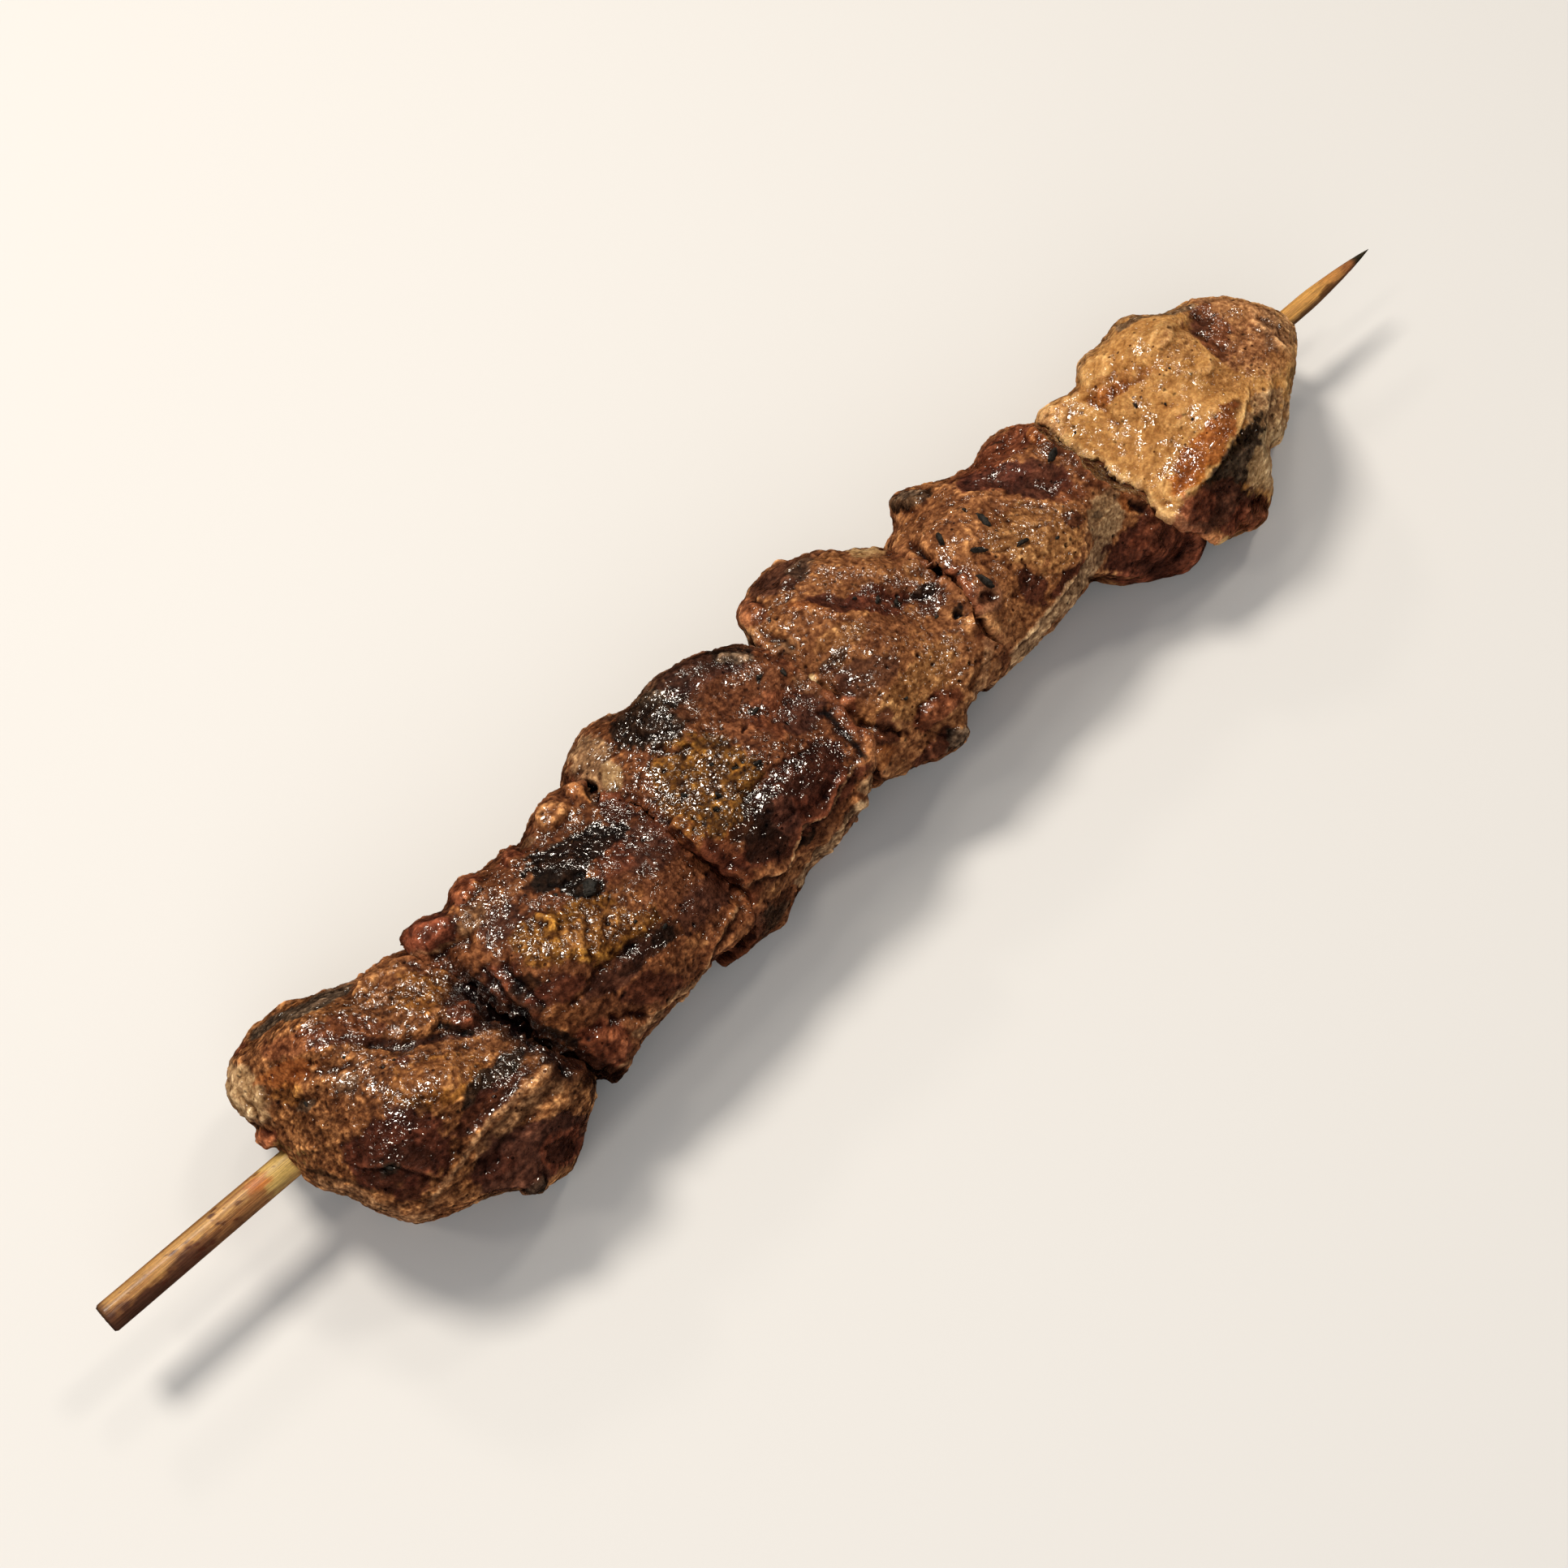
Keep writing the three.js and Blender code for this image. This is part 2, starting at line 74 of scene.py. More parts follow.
PEAK = np.array([-139.15, -129.95, 299.15])
GAP = 0.10
LUMP = 0.55
FACET_BLEND, EDGE_BLEND, JOIN_BLEND = 3.0, 1.4, 0.9
JOINS = [(-63.5, -0.17, -0.4), (-35.2, -0.14, 0.08), (-3.8, -0.03, -0.06), (23.8, 0.1, -0.21), (61.2, 0.0, -0.8)]
CHUNKS = [
    dict(name='chunk_1', centre=(-80, -4),
         faces=[(10, 76, 14), (-150, 62, 15.5), (-100, 40, 17.5), (-90, 14, 20.5), (-88, -38, 21.5), (-55, 10, 27), (95, 42, 17.5), (90, 0, 21.5), (95, -38, 18.5), (180, 5, 16.6), (172, 45, 16.6), (185, -42, 17), (125, 10, 23), (-135, 12, 18.8), (40, -82, 14.3)],
         outline=[22.5, 23.4, 26.4, 21.5, 19.2, 20.6, 27.1, 25.3, 20.1, 16.9, 16.4, 14.8, 15.6, 16.9, 16.8, 18, 23.2, 23.1, 24.1, 22.5],
         lobes=[(-94.5, 6.5, 10.5, -91, 6, 10.5, 2.6, 3)], spurs=[],
         base='strand', top='strand', grain=(-30, 0), rough=1.1, lumpy=0.85,
         # painted shade among these marks: the dark line in the groove, and the dark and glaze lines along the join
         # with chunk_2
         marks=[
             ('gray', 0.9, 0.4, -94, 11.6, 4.9, 2, 77.5), ('cream', 0.35, 0.4, -94, 11.6, 4.1, 1.6, 77.5),
             ('redbrown', 0.8, 0.3, -91.4, 17.3, 1.6, 1, -175.2), ('orange', 0.8, 0.4, -88.9, 9.8, 4.3, 1.8, 143),
             ('redbrown', 0.5, 0.4, -84.9, 11.8, 5, 2.1, 143.2), ('redbrown', 0.5, 0.4, -79.6, 9.3, 5.1, 2.3, 139.6),
             ('gold', 0.55, 0.4, -90.2, 7.4, 2.7, 1.5, 144.4),
             # a light line along the lit top edge: grey char with a painted highlight
             ('~ash', 0.95, 0.4, 0.73, -88.4, 16.9, -84.5, 16.7, -80.9, 15.2, -78.2, 14.4, -74.5, 14.1),
             ('~char', 0.35, 0.4, 0.55, -88.4, 17.4, -85, 16.9, -81.8, 15.9, -78.6, 15.3),
             ('~purple', 0.75, 0.4, 0.69, -83.6, 10.5, -79.7, 7.5, -77.6, 5.2, -75.5, 2.6, -71.9, 0.6, -68, -2.5, -65.8, -3.5),
             ('ash', 0.7, 0.3, -89.6, 5.1, 1, 0.8, -168), ('ash', 0.5, 0.4, -83.9, 3.1, 1.9, 1, 157.3),
             ('maroon', 0.85, 0.3, -77, 0.8, 0.8, 0.7, 157.8), ('tan', 0.7, 0.4, -70.9, 11.7, 4.2, 2.4, 158.4),
             ('gold', 0.8, 0.4, -69, 6.8, 4.4, 3, 151.7), ('maroon', 0.9, 0.3, -67.3, 0.1, 2.8, 2.1, 77.5),
             ('~dark', 0.9, 0.4, 0.38, -70, 1.6, -69.2, -0.4, -67.9, -2.7),
             ('gold', 0.95, 0.3, -75.9, -4.5, 5.9, 3.8, 151), ('tan', 0.7, 0.4, -75.6, -4, 5.2, 2.8, 151.4),
             ('tan', 0.5, 0.4, -68.2, -4.8, 2.8, 1.4, 157.9), ('char', 0.92, 0.3, -70.3, -9.4, 5.6, 1.7, -174.8),
             ('maroon', 0.8, 0.3, -73.1, -11.8, 7, 1.5, -176.3), ('maroon', 0.95, 0.3, -85.5, -8.3, 6.7, 5.1, 149),
             ('glaze', 0.5, 0.4, -86.5, -10.3, 4, 2.9, 156.1), ('glaze', 0.4, 0.4, -81.6, -5.4, 2.7, 2, 156.9),
             ('char', 0.95, 0.3, -87.8, -9.3, 1.3, 0.9, 156.1), ('maroon', 0.8, 0.3, -87.4, -13.4, 2.1, 1.2, 168.6),
             ('purple', 0.7, 0.3, -83.1, -3.7, 1.3, 0.8, 169.7),
             ('~pale', 0.6, 0.4, 0.97, -94.5, -4.4, -93.1, -10.2, -91.3, -16, -88.8, -18),
             ('~pale', 0.75, 0.5, 0.40, -87.4, -16.5, -83.3, -15.4, -79.2, -14.4, -75, -13.4, -68.6, -13.3, -61.6, -13.6),
             ('gray', 0.45, 0.5, -72.5, -15.8, 8.4, 1.5, -175.6),
             ('purple', 0.95, 0.35, -73.9, -20.7, 8.6, 4, 162.7),
             ('maroon', 0.5, 0.4, -79.1, -18.2, 3.6, 1.7, 162.6),
             ('redbrown', 0.8, 0.3, -70.9, -23.2, 3.7, 1.9, 179.9),
             ('glaze', 0.6, 0.4, -71.4, -23.2, 2.3, 1.2, 179.7), ('orange', 0.8, 0.3, -61.8, -15.6, 2.1, 1.5, 78.7),
             ('char', 1, 0.2, -76.7, -24.1, 1.7, 1.1, -178.9), ('redbrown', 0.8, 0.3, -96.2, 4.8, 1.6, 1.1, 82.7),
             ('~dark', 0.7, 0.4, 0.26, -95.3, -2.4, -92.9, -6.3, -91, -10.7),
             ('~dark', 0.97, 0.4, 0.81, -63.7, 1.6, -64, -2, -63, -6.6, -61.2, -10.6, -60, -13.1),
             ('~glaze', 0.8, 0.4, 0.38, -63.5, -4.5, -62, -8.6, -60.9, -11.6)],
         forms=[
             ('fold', 0.45, 0.8, -87.4, -16.5, -83.3, -15.4, -79.2, -14.4, -75, -13.4, -68.6, -13.3, -61.6, -13.6),
             ('fold', 0.55, 1.5, -72.7, 13.5, -69.2, 10.4, -66.6, 7.3, -65, 4.2),
             ('fold', -0.8, 1.1, -79.3, 6.7, -75.5, 2.6, -71.9, 0.6, -70.2, -1.2),
             ('dome', 0.9, -67.3, 0.1, 3.2, 2.7, 70.3), ('lump', 0.5, -76.1, -4.5, 5.7, 4.3, 157.7),
             ('dome', 0.8, -61.8, -15.6, 2.3, 1.7, 78.1), ('dome', 0.7, -76.7, -24.1, 1.8, 1.2, -178.6),
             ('fold', 0.3, 0.6, -94.8, 15.2, -95.5, 11.6, -95.5, 7.6),
             ('fold', 0.35, 0.6, -93.4, 15.8, -94.2, 11.6, -94.3, 6.6),
             ('fold', 0.3, 0.6, -91.8, 15.9, -92.6, 12.2, -92.9, 9.1),
             ('fold', -0.5, 0.7, -94.2, 15.7, -94.8, 11.6, -94.9, 7.1), ('dome', 1.1, -96.2, 4.8, 1.7, 1.3, 80.9),
             ('fold', -0.6, 1.3, -81.3, -18.1, -77.2, -17.4, -71.7, -16.6, -64.2, -16.1),
             ('fold', -0.6, 0.9, -70.8, 2.6, -69.5, -0.4, -68.1, -3),
             ('fold', 0.4, 0.9, -87.1, 12.2, -83.7, 9.7, -79.8, 6.7),
             ('fold', -0.35, 0.8, -88.7, 10.2, -85.2, 7.2, -80.9, 4.1),
             ('fold', 0.45, 0.7, -90, 7.1, -88, 6.4, -85.8, 5.4),
             ('step', 0.5, 2.5, -90.7, -6.3, -86.5, -10.3, -83.3, -15.4),
             ('dome', 2.3, -92.9, 17.8, 2.1, 1.7, -167.9), ('dome', 0.8, -73.5, 12.2, 1.9, 1.2, -174.7)]),
    dict(name='chunk_2', centre=(-49.5, -2.5),
         faces=[(70, 80, 14.5), (-60, 60, 16.5), (-95, 36, 18), (-90, 4, 18.6), (-85, -38, 18.5), (95, 45, 17), (90, 0, 19), (95, -40, 17.5), (-160, 50, 19), (-60, -80, 14.2)],
         outline=[26.6, 26.9, 27.3, 24.5, 17.7, 17.3, 18.3, 20.3, 31.5, 18.8, 19.8, 20.6, 24.8, 24.8, 18, 16.3, 16.1, 17.8, 24.9, 27.8],
         lobes=[(-62.3, 17.5, 9, -56, 11, 11, 3.2, 3)], spurs=[],
         base='brown', top='brown', grain=(51, 0), rough=1.1, lumpy=1,
         # painted shade among these marks: the dark in the pit at the top, beside the grooves and along the join with
         # chunk_1, with glaze on that join; the dark beside the char is matte char
         marks=[
             ('wine', 0.95, 0.3, -62.2, 12.1, 3.6, 2.5, 173.8),
             ('~pale', 0.8, 0.4, 0.22, -65.4, 11.8, -64, 9.9, -60.5, 9.4),
             ('redbrown', 0.85, 0.3, -54.7, 13.8, 2.8, 1.3, -177.2),
             ('redbrown', 0.75, 0.3, -47.1, 13.2, 1.8, 1, 172.5), ('gray', 0.6, 0.4, -56.5, 10, 2.7, 1.7, -174.4),
             ('tan', 0.5, 0.4, -49.8, 9.8, 3.6, 1.5, -177.9), ('pale', 0.85, 0.3, -43.6, 13.7, 1.5, 0.4, -178.5),
             ('tan', 0.6, 0.4, -38.7, 14.2, 2.8, 1.4, -176.3), ('dark', 0.95, 0.3, -32.3, 13.3, 2, 1.2, 77.6),
             ('char', 0.97, 0.25, -39.7, 8.1, 8.1, 2.8, 161.2), ('char', 0.95, 0.3, -44.7, 6.8, 4, 1.9, 159.1),
             ('maroon', 0.8, 0.35, -31.8, 9.2, 3.1, 2.3, 64.6), ('purple', 0.75, 0.4, -54.6, 6.6, 3.2, 2.4, 176.4),
             ('bronze', 0.95, 0.3, -45.7, -2.9, 8.4, 5.3, 163.8),
             ('bronze', 0.85, 0.35, -52.3, 1.3, 4.6, 3.4, -171.8),
             ('strand', 0.5, 0.4, -45.1, -3.3, 6.5, 2.9, 158.7), ('maroon', 0.85, 0.4, -60.9, -2.3, 6.1, 2.9, 82.3),
             ('dark', 0.8, 0.4, -59.1, -3.7, 3.8, 2.4, 64.6), ('maroon', 0.85, 0.35, -56.4, -5.6, 3.9, 1.9, 152.3),
             ('char', 0.97, 0.2, -43, 2.9, 2.9, 1.8, 146.9), ('dark', 0.7, 0.3, -43, 2.9, 2.6, 1.6, 146.9),
             ('purple', 0.85, 0.4, -33.5, 1.4, 4.9, 4.1, 149.5), ('skin', 0.7, 0.4, -39, -1.9, 3.5, 3, 166.8),
             ('redbrown', 0.5, 0.4, -37.9, 3.1, 2.9, 2.4, -159.4), ('purple', 0.8, 0.4, -32.7, -9.7, 5.8, 2.8, -168),
             ('skin', 0.8, 0.4, -34.4, -4.8, 5.1, 2.6, -177.6), ('purple', 0.8, 0.35, -48.5, -9.5, 6.8, 1.9, -176.9),
             ('char', 0.92, 0.3, -40.9, -10, 1.5, 1.3, -144.2), ('tan', 0.8, 0.3, -38.6, -13.4, 1.9, 1.1, -177.3),
             ('maroon', 0.8, 0.35, -47.3, -14.1, 4, 2.4, 159.2), ('glaze', 0.6, 0.35, -43.2, -9.5, 5, 1.9, -179.5),
             ('redbrown', 0.85, 0.3, -57.2, -16.2, 3.9, 3.2, 162),
             ('~pale', 0.8, 0.4, 0.26, -57.7, -19.8, -56.4, -20.3), ('gray', 0.6, 0.4, -48.7, -17.8, 5, 0.8, -175.9),
             ('~pale', 0.85, 0.3, 0.13, -50.8, -17.1, -45.1, -17.4, -38.2, -16.1, -33.5, -14.8, -29.2, -12.9),
             ('~dark', 0.97, 0.4, 0.74, -63.3, 3.3, -63.3, -0, -63.2, -3.7, -61.9, -7.9, -60.1, -11.1, -59.8, -13.4),
             ('~glaze', 0.8, 0.4, 0.34, -63, -6.5, -61.6, -9.3, -60.2, -12),
             ('glaze', 0.9, 0.3, -39.7, 8.1, 7.8, 2.5, 161.1), ('dark', 0.7, 0.35, -45.6, 7.1, 4, 1.7, 158.9),
             ('~orange', 0.45, 0.4, 0.33, -30.2, 8.3, -29.4, 3.4, -28.1, -1.5)],
         forms=[
             ('trim', 0, 0, -66, 13.2, -64.6, 15), ('dome', 0.8, -62.2, 12.1, 3.6, 2.3, 173),
             ('fold', -1.1, 1, -65.3, 9.8, -61.9, 8.7, -58.3, 8.3), ('dome', 0.7, -54.7, 13.9, 2.6, 1.5, -175.1),
             ('dome', 0.55, -47.1, 13.4, 1.9, 1.3, -173.1), ('dome', 0.95, -38.7, 14.1, 2.9, 1.8, -174),
             ('dome', -2.4, -32.4, 13.2, 2.1, 1.3, 76.7), ('fold', 0.9, 0.8, -34.9, 15.2, -33.2, 14.4, -32, 14.8),
             ('fold', 0.55, 0.9, -45.3, 9.5, -42.3, 8.1, -40.5, 7.2),
             ('fold', -0.6, 0.8, -46.5, 7.1, -44, 5.3, -41.2, 4.7),
             ('fold', 0.6, 0.6, -51, 3.9, -49.8, 2.4, -50.5, 0.4),
             ('fold', 0.2, 0.6, -51.4, -5.9, -49.6, -3.3, -47.1, -0),
             ('fold', 0.2, 0.6, -49.1, -6.8, -46.9, -3.8, -44.6, -1),
             ('fold', 0.2, 0.6, -46.7, -7.6, -44.6, -5, -42, -2.4),
             ('fold', -0.25, 0.6, -50.1, -6.1, -48.2, -3.3, -46.1, -0.5),
             ('fold', -0.25, 0.6, -47.8, -7.3, -45.8, -4.5, -43.3, -1.7),
             ('fold', -0.6, 1, -57.2, -8.5, -52.8, -8.2, -48.3, -7.5, -43.1, -8.8),
             ('step', 0.7, 2.2, -50.8, -17.1, -45.1, -17.4, -38.2, -16.1, -33.5, -14.8, -29.2, -12.9),
             ('dome', 0.8, -57.2, -16.2, 3.9, 2.9, 159.8),
             ('fold', -0.9, 1.1, -54.2, -13.5, -52.2, -15.3, -50.3, -17.1),
             ('fold', -0.7, 0.8, -60.6, 4.7, -61.7, -1.4, -62.1, -7.4),
             ('fold', -0.6, 0.8, -58.9, 3.3, -59.2, -2.3, -58.7, -7.4),
             ('fold', 0.5, 0.9, -59.7, 3.8, -60.5, -1.9, -60.3, -7.4), ('dome', 0.5, -42.9, 2.6, 2.2, 1.1, 153),
             ('lump', 0.4, -32.7, -9.6, 4.6, 2.8, -176.1), ('fold', -0.4, 1, -30.2, 8.3, -29.4, 3.4, -27.8, -1.5)]),
    dict(name='chunk_3', centre=(-19.5, 0.5),
         faces=[(-60, 82, 15), (150, 62, 17), (-92, 44, 18), (-90, 4, 18.6), (-88, -38, 18.5), (100, 42, 18.5), (90, 0, 21.5), (95, -38, 18.5), (20, 55, 20), (80, -80, 14.3)],
         outline=[26.6, 27.3, 25.8, 23.3, 21.3, 19.3, 22.1, 22.2, 21.4, 16.5, 16, 15.9, 22.6, 29.6, 20.8, 17.9, 18.3, 19.5, 21, 24.7],
         lobes=[(-7, -14.6, 9.5, -9, -12, 9.5, 2.2, 2)], spurs=[],
         base='brown', top='brown', grain=(19, 0), rough=1.1, lumpy=1.15,
         # painted shade among these marks: the dark in the pits and along the join with chunk_4; the faint dark with
         # the char at the top is matte char
         marks=[
             ('gray', 0.95, 0.35, -29.2, 15.3, 5.9, 3.3, 62.1), ('cream', 0.45, 0.4, -28.4, 12.6, 2.6, 1.6, 61.1),
             ('dark', 0.9, 0.3, -32.1, 14, 1.8, 1, 77.9), ('char', 0.93, 0.35, -17, 16.1, 7.1, 4.8, 170.9),
             ('ash', 0.45, 0.4, -13.1, 19.1, 4.1, 2, -175.2), ('purple', 0.92, 0.4, -6.4, 17.3, 7.1, 5.1, 158.4),
             ('char', 0.3, 0.4, -8, 18.5, 6.3, 2.7, 166.7), ('dark', 0.3, 0.4, -7.3, 17.8, 6.3, 2.7, 166.7),
             ('char', 0.8, 0.35, -2, 16.8, 3.4, 2.8, 46.8), ('ash', 0.8, 0.3, -2.8, 14.6, 2.1, 1, 134.9),
             ('olive', 0.95, 0.3, -19.7, 3.9, 7.6, 7.4, 36), ('bronze', 0.45, 0.4, -20.9, 3.4, 5.8, 5.4, 45.4),
             ('olive', 0.9, 0.3, -22.5, -2, 4.4, 3.3, -166.9), ('char', 0.95, 0.2, -23.5, 3.9, 0.7, 0.5, -169.7),
             ('char', 0.95, 0.2, -20.2, 0.7, 0.8, 0.6, 165.4), ('char', 0.95, 0.2, -22.1, -0.8, 0.8, 0.6, -168.3),
             ('char', 0.95, 0.2, -15.6, 2, 0.7, 0.6, 130.7), ('char', 0.95, 0.2, -12.7, 0.5, 0.7, 0.6, -157.7),
             ('skin', 0.85, 0.4, -6.4, 7.9, 7.2, 5.4, 167.5), ('skin', 0.6, 0.4, -9.7, 12.6, 6.3, 2.1, 171.3),
             ('redbrown', 0.5, 0.4, -4.2, 4, 4.6, 3.8, 154.6), ('char', 0.9, 0.2, -6.7, 7, 0.8, 0.7, 152.6),
             ('char', 0.95, 0.15, -2.3, 10.5, 0.6, 0.4, 65.6), ('char', 0.95, 0.15, 0.4, 8.6, 0.7, 0.4, 73.3),
             ('purple', 0.9, 0.4, -2.5, 1.9, 3.6, 2.9, -158.3), ('maroon', 0.92, 0.35, -10.9, -6, 8.4, 4, -177.7),
             ('maroon', 0.85, 0.35, -15.4, -9.8, 12.1, 2.7, 179.8),
             ('redbrown', 0.5, 0.4, -26.9, -7.7, 3.4, 2.8, -160.2), ('char', 0.2, 0.4, -12.7, -5, 6.1, 1.3, -170),
             ('purple', 0.8, 0.3, -16.5, -7.4, 3.1, 2.6, -142.5), ('orange', 0.8, 0.35, -21.8, -5.5, 2, 1.2, -174.8),
             ('char', 0.6, 0.4, -19.8, -7.3, 2.4, 1.9, -165.9), ('maroon', 0.75, 0.4, -28.2, -5.8, 7.3, 2.1, 73.4),
             ('bronze', 0.8, 0.4, -26.6, 0.5, 4.5, 2.1, 70.3),
             ('~pale', 0.9, 0.3, 0.14, -28.7, -12, -24.9, -13, -21.7, -13.8, -19.1, -12.2, -15.6, -11, -11.9, -12, -6.8, -10.2, -3.7, -9.4),
             ('dark', 0.98, 0.25, -17.8, -12.7, 3, 0.6, -168.7), ('tan', 0.85, 0.35, -20.5, -15.1, 7.3, 1.1, -175.8),
             ('~buff', 0.85, 0.4, 0.70, -22.2, -16.9, -15, -16.1, -7.5, -14.2),
             ('ash', 0.5, 0.35, -30.2, -17.7, 5.1, 1.2, 174.1), ('char', 0.5, 0.4, -30.2, -17.7, 5.1, 1.2, 174.1),
             ('maroon', 0.9, 0.3, -9.4, -16.4, 2, 1.4, -170.7), ('gray', 0.8, 0.4, -3.7, -12.9, 2.5, 1.2, -178),
             ('pale', 0.5, 0.4, 1.8, 5, 3.1, 1.3, 77.2), ('~dark', 0.9, 0.4, 0.45, 0.1, -0, -0.6, -5, -1.7, -9.5),
             ('glaze', 0.85, 0.35, -19, -5.4, 5.1, 2.4, -158.7), ('glaze', 0.35, 0.35, -8.9, -5.4, 5.4, 2.9, -176.4),
             ('glaze', 0.8, 0.35, -21.1, -9.7, 3.3, 1.9, -176.5)],
         forms=[
             ('dome', -1.7, -32.1, 14, 1.9, 1.1, 77.5), ('lump', 0.5, -28.7, 15.3, 6.1, 3.6, 61.5),
             ('fold', -0.6, 1.2, -30.2, 8.3, -28.8, 4.9, -28.3, 1.4),
             ('step', 0.85, 2.2, -28.7, -12, -24.9, -13, -21.7, -13.8, -19.1, -12.2, -15.6, -11, -11.9, -12, -6.8, -10.2, -3.7, -9.4),
             ('dome', -1.2, -17.8, -12.8, 3, 0.7, -168.6), ('dome', 0.6, -9.5, -16.6, 1.3, 1, -163.3),
             ('dome', -0.5, -9.8, 6, 0.8, 0.6, 46.1), ('dome', 0.6, -10.9, -6, 8.1, 3.5, -178.2),
             ('fold', -0.5, 1, -18.6, -2.9, -14.2, -2.3, -10.2, -1.6), ('dome', -0.5, -20.2, 0.7, 0.8, 0.6, 165.4),
             ('dome', -0.5, -15.6, 2, 0.7, 0.6, -163.6), ('dome', -0.6, -22.1, -0.8, 0.7, 0.6, -157.8),
             ('lump', 0.5, -6.9, 17.3, 6.2, 2.7, 160.7), ('fold', 0.5, 0.8, -5, 16.8, -2.8, 15, -1.3, 13.5),
             ('fold', -0.5, 0.9, -22.4, 12.4, -19.9, 9.9, -17.2, 8.5), ('dome', 0.5, -17.2, 15, 4.2, 2.4, 161.7),
             ('fold', -0.7, 1, -22.3, -17.1, -15.1, -16.4, -7.5, -14.5),
             ('fold', -0.6, 1.2, 0.3, 1, -0.6, -5, -1.9, -10.2)]),
    dict(name='chunk_4', centre=(9.5, 1),
         faces=[(-80, 80, 13.5), (60, 60, 15.5), (-95, 38, 17), (-88, 2, 18.3), (-85, -38, 18), (105, 42, 18), (90, 0, 21), (95, -38, 18.5), (-170, 52, 17), (-100, -81, 14.3)],
         outline=[21.8, 28.4, 22.8, 20.9, 21.4, 22.6, 19.9, 16, 16.7, 14.1, 14.3, 14.8, 22, 19.2, 18, 18.9, 16, 18.3, 25.3, 23.9],
         lobes=[], spurs=[],
         base='brown', top='tan', grain=(-43, 0), rough=0.95, lumpy=1,
         # painted shade among these marks: the dark in the pit, in the groove and along the join with chunk_3
         marks=[
             ('redbrown', 0.7, 0.3, 5, 19.2, 2.6, 2.1, 45.1), ('purple', 0.88, 0.4, 12.7, 20.3, 6, 2.2, 170.2),
             ('ash', 0.5, 0.4, 15.3, 18.9, 2.7, 1.2, 161.5), ('cream', 0.95, 0.35, 24.5, 15.3, 2.4, 1.5, 150.7),
             ('pale', 0.8, 0.35, 1.5, 15.8, 1.9, 1.3, 69), ('gray', 0.85, 0.4, 4.1, 11.7, 2.2, 1.8, -154.5),
             ('redbrown', 0.6, 0.4, 11, 11.8, 4.8, 4.1, 149), ('tan', 0.9, 0.4, 10.6, 10, 5.9, 4.6, 145.3),
             ('skin', 0.5, 0.4, 15.9, 3.9, 4.4, 2.9, 166), ('sand', 0.7, 0.4, 11.1, 7.1, 4.2, 2.4, 175.3),
             ('~orange', 0.55, 0.4, 0.56, 9.9, 16.1, 11.8, 13.7, 12.8, 10.9),
             ('tan', 0.7, 0.4, 22.1, 13.3, 4.9, 2.5, 156), ('sand', 0.6, 0.4, 27.4, 8.6, 3.1, 1.9, 69.8),
             ('wine', 0.9, 0.25, 15.2, 11.9, 4.7, 1.6, 132.6), ('redbrown', 0.9, 0.25, 19.2, 8.2, 4.7, 2.8, 132.8),
             ('plum', 0.45, 0.3, 18.7, 8.4, 4.2, 2.4, 132.8), ('maroon', 0.7, 0.35, 22.3, 7.3, 3.4, 2.3, 136.4),
             ('maroon', 0.8, 0.35, 24.7, 2.6, 3.2, 2.5, 38.9), ('char', 0.8, 0.3, 19.3, 7.9, 1, 0.6, -169.1),
             ('char', 0.8, 0.3, 21, 5.8, 1, 0.7, 168.5), ('char', 0.88, 0.3, 25.1, 4.5, 1.9, 1, 174),
             ('char', 0.7, 0.4, 7.7, 4.3, 2.8, 1.2, -177.2), ('maroon', 0.6, 0.4, 5.4, 2, 2.4, 1.8, 64.9),
             ('purple', 0.7, 0.4, 8.6, -0.2, 5.4, 2.6, 172.9), ('redbrown', 0.85, 0.3, 2.7, -1.4, 1.9, 1.5, -156.7),
             ('sand', 0.9, 0.35, 13, -6.2, 9.2, 3, -169.6), ('maroon', 0.88, 0.35, 3.9, -8.3, 3, 1.8, 46.1),
             ('redbrown', 0.8, 0.3, 11.5, -11.2, 3.8, 2.1, -175.6),
             ('maroon', 0.88, 0.35, 6.6, -15.5, 5.4, 1.6, 175), ('char', 0.92, 0.3, 10.1, -16, 2.4, 1.1, -178.4),
             ('ash', 0.45, 0.4, 10.1, -16, 2.4, 1.1, -178.4),
             ('~pale', 0.88, 0.4, 0.60, 16.5, -13.5, 20.5, -12.2, 23.9, -9.5, 25.4, -7.6),
             ('tan', 0.8, 0.35, 25.9, -4.9, 2, 1.6, -149.4), ('cream', 0.9, 0.3, 2.7, 4.5, 1.3, 1, 58.3),
             ('dark', 0.95, 0.25, 25.6, -1.9, 1, 0.8, -141.8), ('orange', 0.6, 0.4, 0.3, -11, 2.3, 1.6, -171.1),
             ('~dark', 0.9, 0.4, 0.41, 0.9, 0.2, -0.1, -3.8, -1.2, -9.4),
             ('~dark', 0.7, 0.4, 0.29, 29.7, 9.2, 28.7, 4.5)],
         forms=[
             ('dome', 0.75, 4.8, 19.2, 2.6, 2.1, 45.2),
             ('fold', 0.7, 1.6, 6.5, 19.9, 12.7, 20.9, 17.1, 19, 20.8, 16.1),
             ('fold', 0.45, 1.1, 9.1, 16.5, 11.3, 13.6, 14.6, 9, 16.9, 6.2),
             ('fold', -0.25, 1.6, 12.5, 14.7, 16.9, 10.9, 20.8, 7.1, 25.4, 1.6),
             ('dome', 0.8, 2.7, 4.5, 1.3, 1, 64.1), ('dome', -1, 25.6, -1.9, 1, 0.8, -141.8),
             ('dome', 0.8, 26.1, -4.9, 2.2, 1.8, -142.8), ('dome', 0.6, 11.5, -11.2, 3.8, 2, -176.2),
             ('fold', -0.5, 0.6, 7.5, -10.7, 10, -9.5, 13.3, -9.3),
